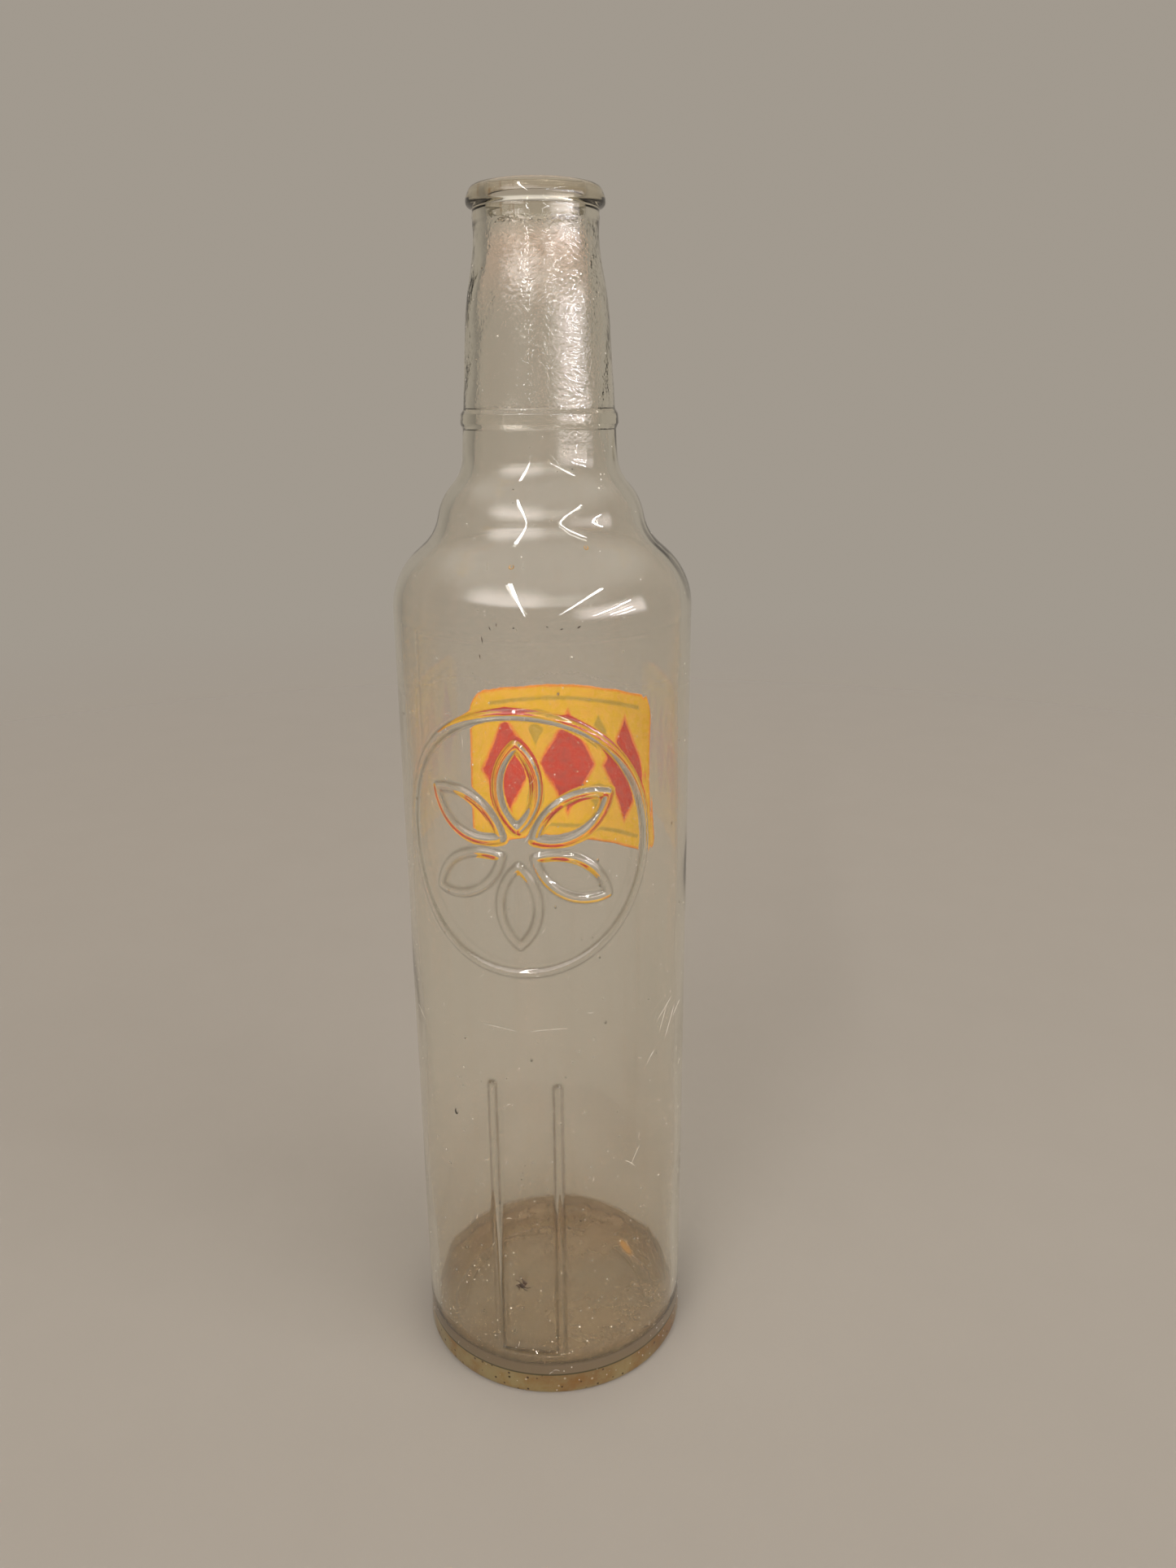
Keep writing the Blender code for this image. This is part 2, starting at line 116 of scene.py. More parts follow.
# Enamel on the back
ENAMEL_MIDDLE = 172.0
LOZENGE_HALF_WIDTH = 8.6
LOZENGE_HALF_HEIGHT = 16.5
LOZENGE_PITCH = 20.5
LOZENGE_OVERLAP = 0.15
PANEL_HALF_WIDTH = 33.5
PANEL_HALF_HEIGHT = 25.0
PANEL_CORNER = 7.0
SMALL_LOZENGE_HALF_WIDTH = 2.8
SMALL_LOZENGE_HALF_HEIGHT = 5.2
SMALL_LOZENGE_OFFSET = 11.0
RULE_HALF_LENGTH = 26.5
RULE_MIDDLE = 20.75
RULE_HALF_WIDTH = 0.65

# Gap between an enamel film and the glass, and the film's thickness
YELLOW_LIFTS = (0.02, 0.05)
RED_LIFTS = (0.015, 0.07)
DARK_LIFTS = (0.05, 0.06)

# Dried oil and grime
OIL_STEP = 2.2
OIL_COLUMNS = 120
OIL_LIFT = 0.12
GRIME_INSET = 0.16
GRIME_INNER_RADIUS = 31.4
GRIME_TOP = 12.6
GRIME_COLUMNS = 120

# The dried drop of oil inside, low at the right: middle in metres, turn and half lengths in metres
DROP_PLACE = (0.0255, -0.0269, 0.0454)
DROP_TURN = (0.0, -0.52, 0.74)
DROP_SIZE = (0.0014, 0.004, 0.0062)

# Dust and wear; angles in degrees
BODY_DUST = 680
NECK_DUST = 220
FLOOR_GRIT = 150
SCRATCH_COUNT = 110
SCUFF_WIDTH = 0.075
GNAT_ANGLE = -3.0
GNAT_HEIGHT = 38.6

# Dark flecks: angle, height and half lengths across and up
FLECKS = (
    (-8.0, 228.4, 0.12, 0.5), (-5.5, 229.2, 0.1, 0.45), (-11.0, 225.6, 0.1, 0.7), (-12.0, 221.5, 0.1, 0.45),
    (-13.0, 216.5, 0.1, 0.12), (0.5, 228.6, 0.2, 0.16), (12.0, 228.9, 0.3, 0.12), (17.0, 228.3, 0.4, 0.14),
    (23.0, 228.6, 0.5, 0.13), (8.0, 218.0, 0.1, 0.1), (-40.0, 219.0, 0.12, 0.12), (36.0, 227.5, 0.1, 0.1),
    (21.5, 60.5, 0.22, 0.26), (-43.0, 12.0, 0.16, 0.3), (2.0, 46.5, 0.12, 0.12), (5.0, 52.0, 0.1, 0.1),
    (55.0, 320.5, 0.16, 0.16), (40.0, 297.0, 0.14, 0.12), (33.0, 264.0, 0.16, 0.16),
    (-6.0, 259.5, 0.3, 0.1),
)

# Gnat's lumps: offset across and up, half lengths across and up; its legs: direction and reach
GNAT_LUMPS = ((0.0, 0.0, 1.0, 0.75), (-1.1, -0.5, 0.6, 0.55), (0.8, 1.0, 0.45, 0.75))
GNAT_LEGS = (
    (20.0, 2.1), (75.0, 3.2), (115.0, 2.8), (165.0, 2.2), (215.0, 2.1), (290.0, 2.3), (330.0, 2.7),
)

# Scuffs: first and last angle, first and last height
SCUFFS = (
    (-17.0, -2.0, 121.4, 120.6), (2.0, 18.0, 120.8, 121.6), (-60.0, -51.0, 116.0, 113.5),
    (71.0, 80.0, 113.5, 115.8), (-9.0, -6.5, 60.6, 60.9), (9.0, 12.0, 8.8, 8.6),
    (64.0, 73.0, 108.5, 117.0), (60.0, 66.0, 112.0, 119.5), (58.0, 70.0, 116.0, 120.5),
    (52.0, 57.0, 104.0, 107.5), (44.0, 49.0, 74.0, 79.5), (41.0, 46.5, 76.5, 73.0),
)

# Ringed marks on the shoulder: angle and height
SEED_MARKS = ((-1.9, 242.2), (32.0, 246.0))

# Glass, and what its thickness takes out of the light
GLASS_IOR = 1.52
GLASS_TINT = (0.84, 0.76, 0.38, 1.0)
GLASS_TINT_DENSITY = 28.0

# Fired enamels: name, colour, deeper mottle, colour where thin at the rim, rim's reach, share of worn dots
ENAMELS = (
    ("yellow_enamel", (1.0, 0.62, 0.0), (1.0, 0.53, 0.0), (1.0, 0.30, 0.0), 1.1, 0.01),
    ("red_enamel", (0.72, 0.018, 0.001), (0.48, 0.008, 0.001), (0.90, 0.15, 0.0), 0.5, 0.10),
    ("dark_enamel", (0.035, 0.035, 0.04), (0.02, 0.02, 0.024), (0.05, 0.045, 0.04), 0.3, 0.04),
)

# Rows of ceiling lamps: name, near and far end in plan in metres, width and radiance
LAMP_ROWS = (
    ("left_row", (-0.54, -1.08), (-0.42, -9.5), 0.10, 32.0),
    ("right_row_1", (1.84, -0.78), (3.30, -7.5), 0.12, 32.0),
    ("right_row_2", (4.85, -0.65), (9.35, -8.4), 0.18, 110.0),
    ("right_row_3", (8.2, -1.2), (12.4, -7.2), 0.24, 110.0),
    ("right_row_4", (12.5, -1.4), (18.3, -8.5), 0.36, 110.0),
)
LAMP_HEIGHT = 2.0
LEFT_GLOW_DIRECTION = (-0.286, -0.785, 0.549)
FLOOR_RADIUS = 1500.0

# Camera, from the photograph's perspective
CAMERA_PLACE = (0.05884514, -0.31142909, 0.2785015)
CAMERA_RIGHT = (0.98914717, 0.14677926, -0.00661284)
CAMERA_UP = (-0.03855698, 0.30273957, 0.95229308)
CAMERA_BACK = (0.14177884, -0.94170303, 0.30511336)
CAMERA_LENS = 27.03


def rounded_outline(corners, step):
    """Points of straight lines whose corners (radius, height, fillet) are rounded by tangent arcs.

    Two fillets that would overlap on a short line are cut down in proportion. An arc's points lie at
    equal angles and a line's at equal lengths, about one step apart.
    """
    points = np.array([corner[:2] for corner in corners])
    runs = np.diff(points, axis=0)
    lengths = np.hypot(runs[:, 0], runs[:, 1])
    along = runs / lengths[:, None]
    turns = np.zeros(len(points))
    turns[1:-1] = np.arccos(np.clip((along[:-1] * along[1:]).sum(axis=1), -1.0, 1.0))
    tangents = np.array([corner[2] for corner in corners]) * np.tan(turns / 2.0)
    room = np.minimum(1.0, lengths / np.maximum(tangents[:-1] + tangents[1:], 1e-6))
    tangents[1:-1] *= np.minimum(room[:-1], room[1:])
    stretches = [points[:1]]
    for i in range(1, len(points) - 1):
        if tangents[i] < 0.01:
            stretches.append(points[i:i + 1])
            continue
        radius = tangents[i] / math.tan(turns[i] / 2.0)
        start = points[i] - along[i - 1] * tangents[i]
        end = points[i] + along[i] * tangents[i]
        inward = along[i] - along[i - 1]
        centre = points[i] + inward / np.linalg.norm(inward) * math.hypot(radius, tangents[i])
        count = max(5, math.ceil(turns[i] * radius / step))
        share = np.linspace(0.0, turns[i], count + 1)[:, None]
        arc = np.sin(turns[i] - share) * (start - centre) + np.sin(share) * (end - centre)
        stretches.append(centre + arc / math.sin(turns[i]))
    stretches.append(points[-1:])
    bends = np.concatenate(stretches)
    travel = np.concatenate([[0.0], np.cumsum(np.hypot(*np.diff(bends, axis=0).T))])
    kept = np.concatenate([[True], np.diff(travel) > 1e-4])
    bends, travel = bends[kept], travel[kept]
    counts = np.maximum(1, np.ceil(np.diff(travel) / step)).astype(int)
    spread = [np.linspace(a, b, n, endpoint=False) for a, b, n in zip(travel, travel[1:], counts)]
    stations = np.concatenate(spread + [travel[-1:]])
    radii = np.interp(stations, travel, bends[:, 0])
    return np.stack([radii, np.interp(stations, travel, bends[:, 1])], axis=1)


def bell(distance, half_width):
    """Half a cosine wave: 1 on the line, falling smoothly to 0 at half_width from it."""
    return 0.5 + 0.5 * np.cos(math.pi * np.clip(distance / half_width, 0.0, 1.0))


def fade(value, start, end):
    """0 up to start and 1 from end, with the smooth rise 3s² - 2s³ between them."""
    share = np.clip((value - start) / (end - start), 0.0, 1.0)
    return share * share * (3.0 - 2.0 * share)


def waves(angle, height, seed, turns, length, count=14):
    """A smooth uneven surface, about -1 to 1: a sum of cosines in angle and height.

    Each cosine goes a whole number of times round, drawn from turns, and repeats over a height drawn
    from length, so the surface meets itself after a full turn.
    """
    draw = np.random.default_rng(seed)
    total = np.zeros(np.broadcast_shapes(np.shape(angle), np.shape(height)))
    for _ in range(count):
        around = draw.integers(turns[0], turns[1] + 1)
        upward = FULL_TURN / draw.uniform(*length) * draw.choice((-1.0, 1.0))
        total = total + np.cos(around * angle + upward * height + draw.uniform(0.0, FULL_TURN))
    return total * math.sqrt(0.5 / count)


def petal_distance(across, up, number):
    """Distance to one leaf of the flower: two equal arcs that meet in a tip at each end."""
    turn = FULL_TURN * (number + 0.5) / PETAL_COUNT
    half_length = PETAL_LENGTH / 2.0
    along = across * math.cos(turn) + up * math.sin(turn) - PETAL_INNER_RADIUS - half_length
    aside = np.abs(up * math.cos(turn) - across * math.sin(turn))
    arc_radius = (half_length ** 2 + PETAL_HALF_WIDTH ** 2) / (2.0 * PETAL_HALF_WIDTH)
    centre_drop = arc_radius - PETAL_HALF_WIDTH
    to_arc = np.abs(np.hypot(along, aside + centre_drop) - arc_radius)
    to_tip = np.hypot(np.abs(along) - half_length, aside)
    beyond = np.abs(along) * centre_drop > half_length * (aside + centre_drop)
    return np.where(beyond, to_tip, to_arc)


def strip_distance(across, height):
    """Distance to the sight strip's line: a U with round corners, open at its top."""
    aside = np.abs(across) - (STRIP_HALF_WIDTH - STRIP_CORNER)
    below = STRIP_BOTTOM + STRIP_CORNER - height
    outside = np.hypot(np.maximum(aside, 0.0), np.maximum(below, 0.0))
    to_line = np.abs(outside + np.minimum(np.maximum(aside, below), 0.0) - STRIP_CORNER)
    to_end = np.hypot(np.abs(across) - STRIP_HALF_WIDTH, height - STRIP_TOP)
    return np.where(height > STRIP_TOP, to_end, to_line)


def line_distance(across, height):
    """Distance to the nearest raised line of ring, flower or strip."""
    up = height - RELIEF_MIDDLE
    nearest = np.abs(np.hypot(across, up) - RING_RADIUS)
    for number in range(PETAL_COUNT):
        nearest = np.minimum(nearest, petal_distance(across, up, number))
    return np.minimum(nearest, strip_distance(across, height))


def relief(across, height):
    """How far the front's wall stands proud: a bell over the nearest raised line, plus seam and plate edges.

    It is lower and wider at the left, where the mould drew off sideways.
    """
    seam_foot = RELIEF_MIDDLE + math.sqrt(RING_RADIUS ** 2 - SEAM_OFFSET ** 2)
    past_end = np.maximum(height - SEAM_TOP, 0.0) + np.maximum(seam_foot - height, 0.0)
    seam = SEAM_PROUD * bell(np.hypot(across + SEAM_OFFSET, past_end), SEAM_HALF_WIDTH)
    crisp = fade(across, -33.0, -10.0)
    half_width = RELIEF_HALF_WIDTH * (1.5 - 0.5 * crisp)
    raised = RELIEF_PROUD * (0.25 + 0.75 * crisp) * bell(line_distance(across, height), half_width)
    return np.maximum(raised, seam) + plate_edges(across, height)


def plate_edges(across, height):
    """The hair lines that the mould's front plate left: one upright at the right and one along its top."""
    beside = np.hypot(across - PLATE_EDGE_OFFSET, np.maximum(PLATE_EDGE_FOOT - height, 0.0))
    beside = np.where(height < SEAM_TOP, beside, np.hypot(across - PLATE_EDGE_OFFSET, height - SEAM_TOP))
    past_end = np.maximum(np.abs(across - PLATE_TOP_MIDDLE) - PLATE_TOP_HALF_LENGTH, 0.0)
    above = np.hypot(height - SEAM_TOP, past_end)
    return PLATE_EDGE_PROUD * bell(np.minimum(beside, above), PLATE_EDGE_HALF_WIDTH)


def outer_swell(angle, height):
    """Unevenness of the outside: slack waves all over, a ripple on the neck and a fine collar line.

    It is 0 at the foot and on the lip, and elsewhere lies just inside the true section.
    """
    slack = np.clip(0.036 * waves(angle, height, 11, (3, 9), (30.0, 90.0)), -0.1, 0.1) - 0.1
    ripple = 0.022 * waves(angle, height, 12, (10, 26), (5.0, 20.0), 24)
    on_neck = fade(height, 262.0, 272.0) * (1.0 - fade(height, 317.0, 321.0))
    collar = COLLAR_PROUD * bell(np.abs(height - COLLAR_HEIGHT), COLLAR_HALF_WIDTH)
    standing = fade(height, 0.5, 6.0) * (1.0 - fade(height, 319.0, 321.5))
    return standing * slack + on_neck * ripple + collar


def inner_swell(angle, height):
    """Unevenness of the inside: broad waves, upright streaks, a pulled neck and a bore off the middle."""
    broad = 0.09 * waves(angle, height, 21, (2, 7), (45.0, 140.0))
    streaks = 0.020 * waves(angle, height, 22, (14, 34), (120.0, 400.0), 20)
    pulled = 0.11 * waves(angle, height, 23, (5, 13), (12.0, 40.0)) * fade(height, 235.0, 268.0)
    off_middle = 0.45 * np.cos(angle - 0.4) * (1.0 - fade(height, 215.0, 255.0))
    held = fade(height, 6.5, 30.0) * (1.0 - fade(height, 306.0, 320.0))
    return (broad + streaks + pulled + off_middle) * held


def round_axis(angle, radius, height):
    """Points in metres at an angle round the bottle, a radius and a height."""
    return np.stack([radius * np.sin(angle), -radius * np.cos(angle), height + 0.0 * angle], axis=-1) * MM


def turned_section(outline, angles, swell):
    """Rings of points: an outline turned round the axis, pushed by swell along its own normal.

    The normal is the outline's direction turned a quarter to the right of the way it runs.
    """
    ahead = np.gradient(outline, axis=0)
    ahead = ahead / np.hypot(ahead[:, 0], ahead[:, 1])[:, None]
    push = swell(angles[None, :], outline[:, 1:])
    radius = outline[:, :1] + ahead[:, 1:] * push
    height = outline[:, 1:] - ahead[:, :1] * push
    return round_axis(angles[None, :] + 0.0 * push, radius, height)


def ring_faces(rows, columns, start):
    """Quads between neighbouring closed rings of one block of points."""
    row = start + np.arange(rows - 1)[:, None] * columns
    here = np.arange(columns)[None, :]
    after = (here + 1) % columns
    corners = [row + here, row + after, row + after + columns, row + here + columns]
    return np.stack(corners, axis=-1).reshape(-1, 4)


def zip_faces(lower, upper, lower_start, upper_start):
    """Triangles between two closed rings whose angles are sorted and begin at the same angle.

    Each step along one ring makes a triangle with the last point passed on the other ring.
    """
    a = np.append(lower, lower[0] + FULL_TURN)
    b = np.append(upper, upper[0] + FULL_TURN)
    i = np.arange(1, len(a))
    j = np.arange(1, len(b))
    passed_b = (np.searchsorted(b, a[i] - 1e-7) - 1) % len(upper)
    passed_a = (np.searchsorted(a, b[j] + 1e-7) - 1) % len(lower)
    on_lower = [lower_start + i - 1, lower_start + i % len(lower), upper_start + passed_b]
    on_upper = [lower_start + passed_a, upper_start + j % len(upper), upper_start + j - 1]
    return np.concatenate([np.stack(on_lower, axis=-1), np.stack(on_upper, axis=-1)])


def fan_faces(pole, ring_start, columns, opens_up):
    """Triangles from a pole to a closed ring."""
    here = ring_start + np.arange(columns)
    after = ring_start + (np.arange(columns) + 1) % columns
    centre = np.full(columns, pole)
    return np.stack([centre, here, after] if opens_up else [centre, after, here], axis=-1)


def end_faces(rows, columns):
    """Triangles that close a tube of rings at both ends, from its first point and its last."""
    last = rows * columns
    ends = [fan_faces(0, 1, columns, False), fan_faces(last + 1, last + 1 - columns, columns, True)]
    return np.concatenate(ends)


def copied_faces(faces, copies, stride):
    """The faces of one small form for each of its copies, whose points start a stride apart."""
    shift = stride * np.arange(copies)[:, None, None]
    return (faces[None] + shift).reshape(-1, faces.shape[1])


def mesh_piece(name, vertices, faces, material):
    """An object at the origin from an array of points and a list of arrays of faces."""
    mesh = bpy.data.meshes.new(name)
    vertices = np.asarray(vertices, dtype=np.float32).reshape(-1, 3)
    corners = np.concatenate([part.ravel() for part in faces]).astype(np.int32)
    sizes = np.concatenate([np.full(len(part), part.shape[1]) for part in faces])
    mesh.vertices.add(len(vertices))
    mesh.vertices.foreach_set("co", vertices.ravel())
    mesh.loops.add(len(corners))
    mesh.loops.foreach_set("vertex_index", corners)
    mesh.polygons.add(len(sizes))
    mesh.polygons.foreach_set("loop_start", (np.cumsum(sizes) - sizes).astype(np.int32))
    mesh.update(calc_edges=True)
    mesh.validate()
    mesh.shade_smooth()
    mesh.materials.append(material)
    piece = bpy.data.objects.new(name, mesh)
    bpy.context.scene.collection.objects.link(piece)
    return piece


def set_attribute(piece, name, values):
    attribute = piece.data.attributes.new(name, "FLOAT", "POINT")
    attribute.data.foreach_set("value", values.astype(np.float32))


def seed_bubbles():
    """Small egg-shaped bubbles inside the body's wall, as closed holes in the glass.

    Each is a grid of latitude and longitude, drawn out upwards, and its faces point into it.
    """
    draw = np.random.default_rng(31)
    count, rows, columns = BUBBLE_COUNT, BUBBLE_ROWS, BUBBLE_COLUMNS
    angle = draw.uniform(-1.5, 1.5, count)
    height = draw.uniform(20.0, 222.0, count)
    size = draw.uniform(0.13, 0.36, count)
    angle[0], height[0], size[0] = math.radians(LARGE_BUBBLE[0]), *LARGE_BUBBLE[1:]
    depth = draw.uniform(0.9, 2.0, count)
    across = np.stack([np.cos(angle), np.sin(angle), np.zeros(count)], axis=-1)
    outward = np.stack([np.sin(angle), -np.cos(angle), np.zeros(count)], axis=-1)
    middle = round_axis(angle, BODY_RADIUS - depth, height) / MM
    latitude = np.linspace(-math.pi / 2.0, math.pi / 2.0, rows + 2)[1:-1][:, None]
    longitude = (FULL_TURN * np.arange(columns) / columns)[None, :]
    on_ring = np.stack([
        np.cos(latitude) * np.cos(longitude),
        np.cos(latitude) * np.sin(longitude),
        np.sin(latitude) + 0.0 * longitude,
    ], axis=-1).reshape(-1, 3)
    unit = np.concatenate([[[0.0, 0.0, -1.0]], on_ring, [[0.0, 0.0, 1.0]]])
    egg = unit[None] * size[:, None, None] * np.array([1.0, 0.6, 1.5])
    points = middle[:, None] + egg[..., :1] * across[:, None] + egg[..., 1:2] * outward[:, None]
    points[..., 2] += egg[..., 2]
    quads = copied_faces(ring_faces(rows, columns, 1), count, len(unit))
    return points.reshape(-1, 3) * MM, quads, copied_faces(end_faces(rows, columns), count, len(unit))


def column_angles():
    """Angles of the wall's upright edges: close over the front's relief, wider round the back."""
    near = np.arange(-FINE_REACH, FINE_REACH + FINE_STEP / 2.0, FINE_STEP) / BODY_RADIUS
    rest = FULL_TURN - near[-1] + near[0]
    count = math.ceil(rest * BODY_RADIUS / PLAIN_STEP)
    return np.concatenate([near, near[-1] + rest * np.arange(1, count) / count])


def wall_heights():
    """Heights of the rings up the straight wall: close where the relief curves."""
    stretches = [(WALL_FOOT, 13.0, 5), (13.0, 18.0, 10), (18.0, 101.8, 36), (101.8, 105.6, 8)]
    stretches += [(105.6, 136.0, 10), (136.0, 209.5, 147), (209.5, 224.2, 6), (224.2, WALL_TOP, 6)]
    heights = [np.linspace(low, high, count, endpoint=False) for low, high, count in stretches]
    return np.append(np.concatenate(heights), WALL_TOP)


def outer_outline(step):
    """The outside from the shoulder's foot over the lip into the bore's top."""
    corners = [(BODY_RADIUS, 200.0, 0.0)] + SHOULDER + NECK_BAND + NECK + LIP + [BORE_START]
    outline = rounded_outline(corners, step)
    return outline[outline[:, 1] > WALL_TOP + 0.3]


def inner_outline(step):
    """The inside from the bore's top down to the middle of the floor."""
    return rounded_outline([BORE_START] + BORE + INNER_SHOULDER + INNER_FLOOR, step)


def bottle_glass(material):
    """The whole glass as one closed wall: underside, relief wall, shoulder, neck, lip and inside."""
    fine = column_angles()
    coarse = fine[0] + FULL_TURN * np.arange(COARSE_COLUMNS) / COARSE_COLUMNS
    under = rounded_outline(UNDERSIDE + [(BODY_RADIUS, 10.0, 0.0)], 1.2)[1:]
    under = under[(under[:, 1] < WALL_FOOT - 0.3) | (under[:, 0] < BODY_RADIUS - 2.0)]
    heights = wall_heights()[:, None]
    near_front = (fine + math.pi) % FULL_TURN - math.pi
    radius = BODY_RADIUS + outer_swell(fine, heights) + relief(near_front * BODY_RADIUS, heights)
    blocks = [
        (coarse, turned_section(under, coarse, outer_swell)),
        (fine, round_axis(fine + 0.0 * heights, radius, heights)),
        (coarse, turned_section(outer_outline(OUTER_STEP), coarse, outer_swell)),
        (coarse, turned_section(inner_outline(INNER_STEP)[1:-1], coarse, inner_swell)),
    ]
    points = [[[0.0, 0.0, PUSH_UP * MM]]]
    quads = []
    triangles = [fan_faces(0, 1, len(coarse), False)]
    start = 1
    for number, (angles, block) in enumerate(blocks):
        rows, columns = block.shape[:2]
        if number:
            before = blocks[number - 1][0]
            triangles.append(zip_faces(before, angles, start - len(before), start))
        quads.append(ring_faces(rows, columns, start))
        points.append(block.reshape(-1, 3))
        start += rows * columns
    points.append([[0.0, 0.0, FLOOR_TOP * MM]])
    triangles.append(fan_faces(start, start - len(coarse), len(coarse), True))
    bubble_points, bubble_quads, bubble_tips = seed_bubbles()
    points.append(bubble_points)
    quads.append(bubble_quads + start + 1)
    triangles.append(bubble_tips + start + 1)
    points = np.concatenate(points)
    piece = mesh_piece("bottle_glass_wall", points, quads + triangles, material)
    place = points / MM
    across = np.arctan2(place[:, 0], -place[:, 1]) * BODY_RADIUS
    on_wall = np.hypot(place[:, 0], place[:, 1]) > BODY_RADIUS - 0.5
    # Dirt and painted shade beside each raised line, carried on the mesh for the glass's colour
    dirt = on_wall * bell(np.abs(line_distance(across, place[:, 2]) - DIRT_AND_SHADE_OFFSET), DIRT_AND_SHADE_HALF_WIDTH)
    set_attribute(piece, "line_dirt_and_shade", dirt)
    return piece


def inside_film(name, step, columns, lift, material):
    """A skin on the inside of the glass: the inner outline turned, a hair's breadth off the glass."""
    angles = FULL_TURN * np.arange(columns) / columns
    outline = inner_outline(step)[:-1]
    block = turned_section(outline, angles, lambda angle, height: inner_swell(angle, height) + lift)
    points = np.concatenate([block.reshape(-1, 3), [[0.0, 0.0, (FLOOR_TOP + lift) * MM]]])
    last = len(outline) * columns
    faces = [ring_faces(len(outline), columns, 0), fan_faces(last, last - columns, columns, True)]
    return mesh_piece(name, points, faces, material)


def wall_reach(height, inside=False):
    """Radius of the glass's outside, or of its inside, at a height."""
    if inside:
        outline = inner_outline(1.0)[::-1]
        outline = outline[np.argmin(outline[:, 1]):]
    else:
        foot = [(BODY_RADIUS, 0.0, 0.0)]
        outline = rounded_outline(foot + SHOULDER + NECK_BAND + NECK + [(NECK_RADIUS, BOTTLE_TOP, 0.0)], 1.0)
    return np.interp(height, outline[:, 1], outline[:, 0])


def wall_places(angle, height, inside=False):
    """Points on the glass in millimetres, with unit directions across, up along the wall and outward."""
    slope = (wall_reach(height + 0.3, inside) - wall_reach(height - 0.3, inside)) / 0.6
    lean = np.arctan(slope)[..., None]
    flat = 0.0 * angle
    across = np.stack([np.cos(angle), np.sin(angle), flat], axis=-1)
    radial = np.stack([np.sin(angle), -np.cos(angle), flat], axis=-1)
    upright = np.stack([flat, flat, flat + 1.0], axis=-1)
    swell = -inner_swell(angle, height) if inside else outer_swell(angle, height)
    middle = radial * (wall_reach(height, inside) + swell)[..., None] + upright * height[..., None]
    upward = radial * np.sin(lean) + upright * np.cos(lean)
    outward = radial * np.cos(lean) - upright * np.sin(lean)
    return middle, across, upward, outward


def specks(name, angle, height, sizes, seed, material, inside=False, lift=0.0):
    """Grains on the glass: one lopsided eight-sided crystal each, flat against the wall.

    Its six points lie along three directions, turned by a random roll, at uneven lengths. sizes holds
    the half lengths across, up and outward.
    """
    draw = np.random.default_rng(seed)
    middle, across, upward, outward = wall_places(angle, height, inside)
    roll = draw.uniform(-0.5, 0.5, len(angle))[:, None]
    first = across * np.cos(roll) + upward * np.sin(roll)
    second = upward * np.cos(roll) - across * np.sin(roll)
    arms = np.stack([first, -first, second, -second, outward, -outward], axis=1)
    length = np.repeat(sizes, 2, axis=1) * draw.uniform(0.65, 1.3, (len(angle), 6))
    points = (middle + lift * outward)[:, None] + arms * length[..., None]
    faces = np.array([[0, 2, 4], [2, 1, 4], [1, 3, 4], [3, 0, 4], [2, 0, 5], [1, 2, 5], [3, 1, 5], [0, 3, 5]])
    return mesh_piece(name, points * MM, [copied_faces(faces, len(angle), 6)], material)


def threads(name, angle, height, width, material):
    """Fine raised lines along paths on the outside, one row of angles and heights a path.

    The section is a low triangle whose size falls to nothing at both ends as the root of a sine.
    """
    count, stations = angle.shape
    middle, _, _, outward = wall_places(angle, height)
    ahead = np.gradient(middle, axis=1)
    ahead = ahead / np.linalg.norm(ahead, axis=-1, keepdims=True)
    beside = np.cross(outward, ahead)
    thick = (width[:, None] * np.sqrt(np.sin(math.pi * np.linspace(0.0, 1.0, stations)))[None, :])[..., None]
    sides = [middle + (beside - 0.3 * outward) * thick, middle + 0.35 * outward * thick]
    sides.append(middle - (beside + 0.3 * outward) * thick)
    rings = np.stack(sides, axis=2)[:, 1:-1].reshape(count, -1, 3)
    points = np.concatenate([middle[:, :1], rings, middle[:, -1:]], axis=1)
    parts = [ring_faces(stations - 2, 3, 1), end_faces(stations - 2, 3)]
    faces = [copied_faces(part, count, points.shape[1]) for part in parts]
    return mesh_piece(name, points * MM, faces, material)


def lozenge_gap(x, y, middle_x, middle_y, half_width, half_height):
    """Distance outside the nearest of a lozenge's four edge lines, negative inside it."""
    reach = np.abs(x - middle_x) / half_width + np.abs(y - middle_y) / half_height - 1.0
    return reach * half_width * half_height / math.hypot(half_width, half_height)


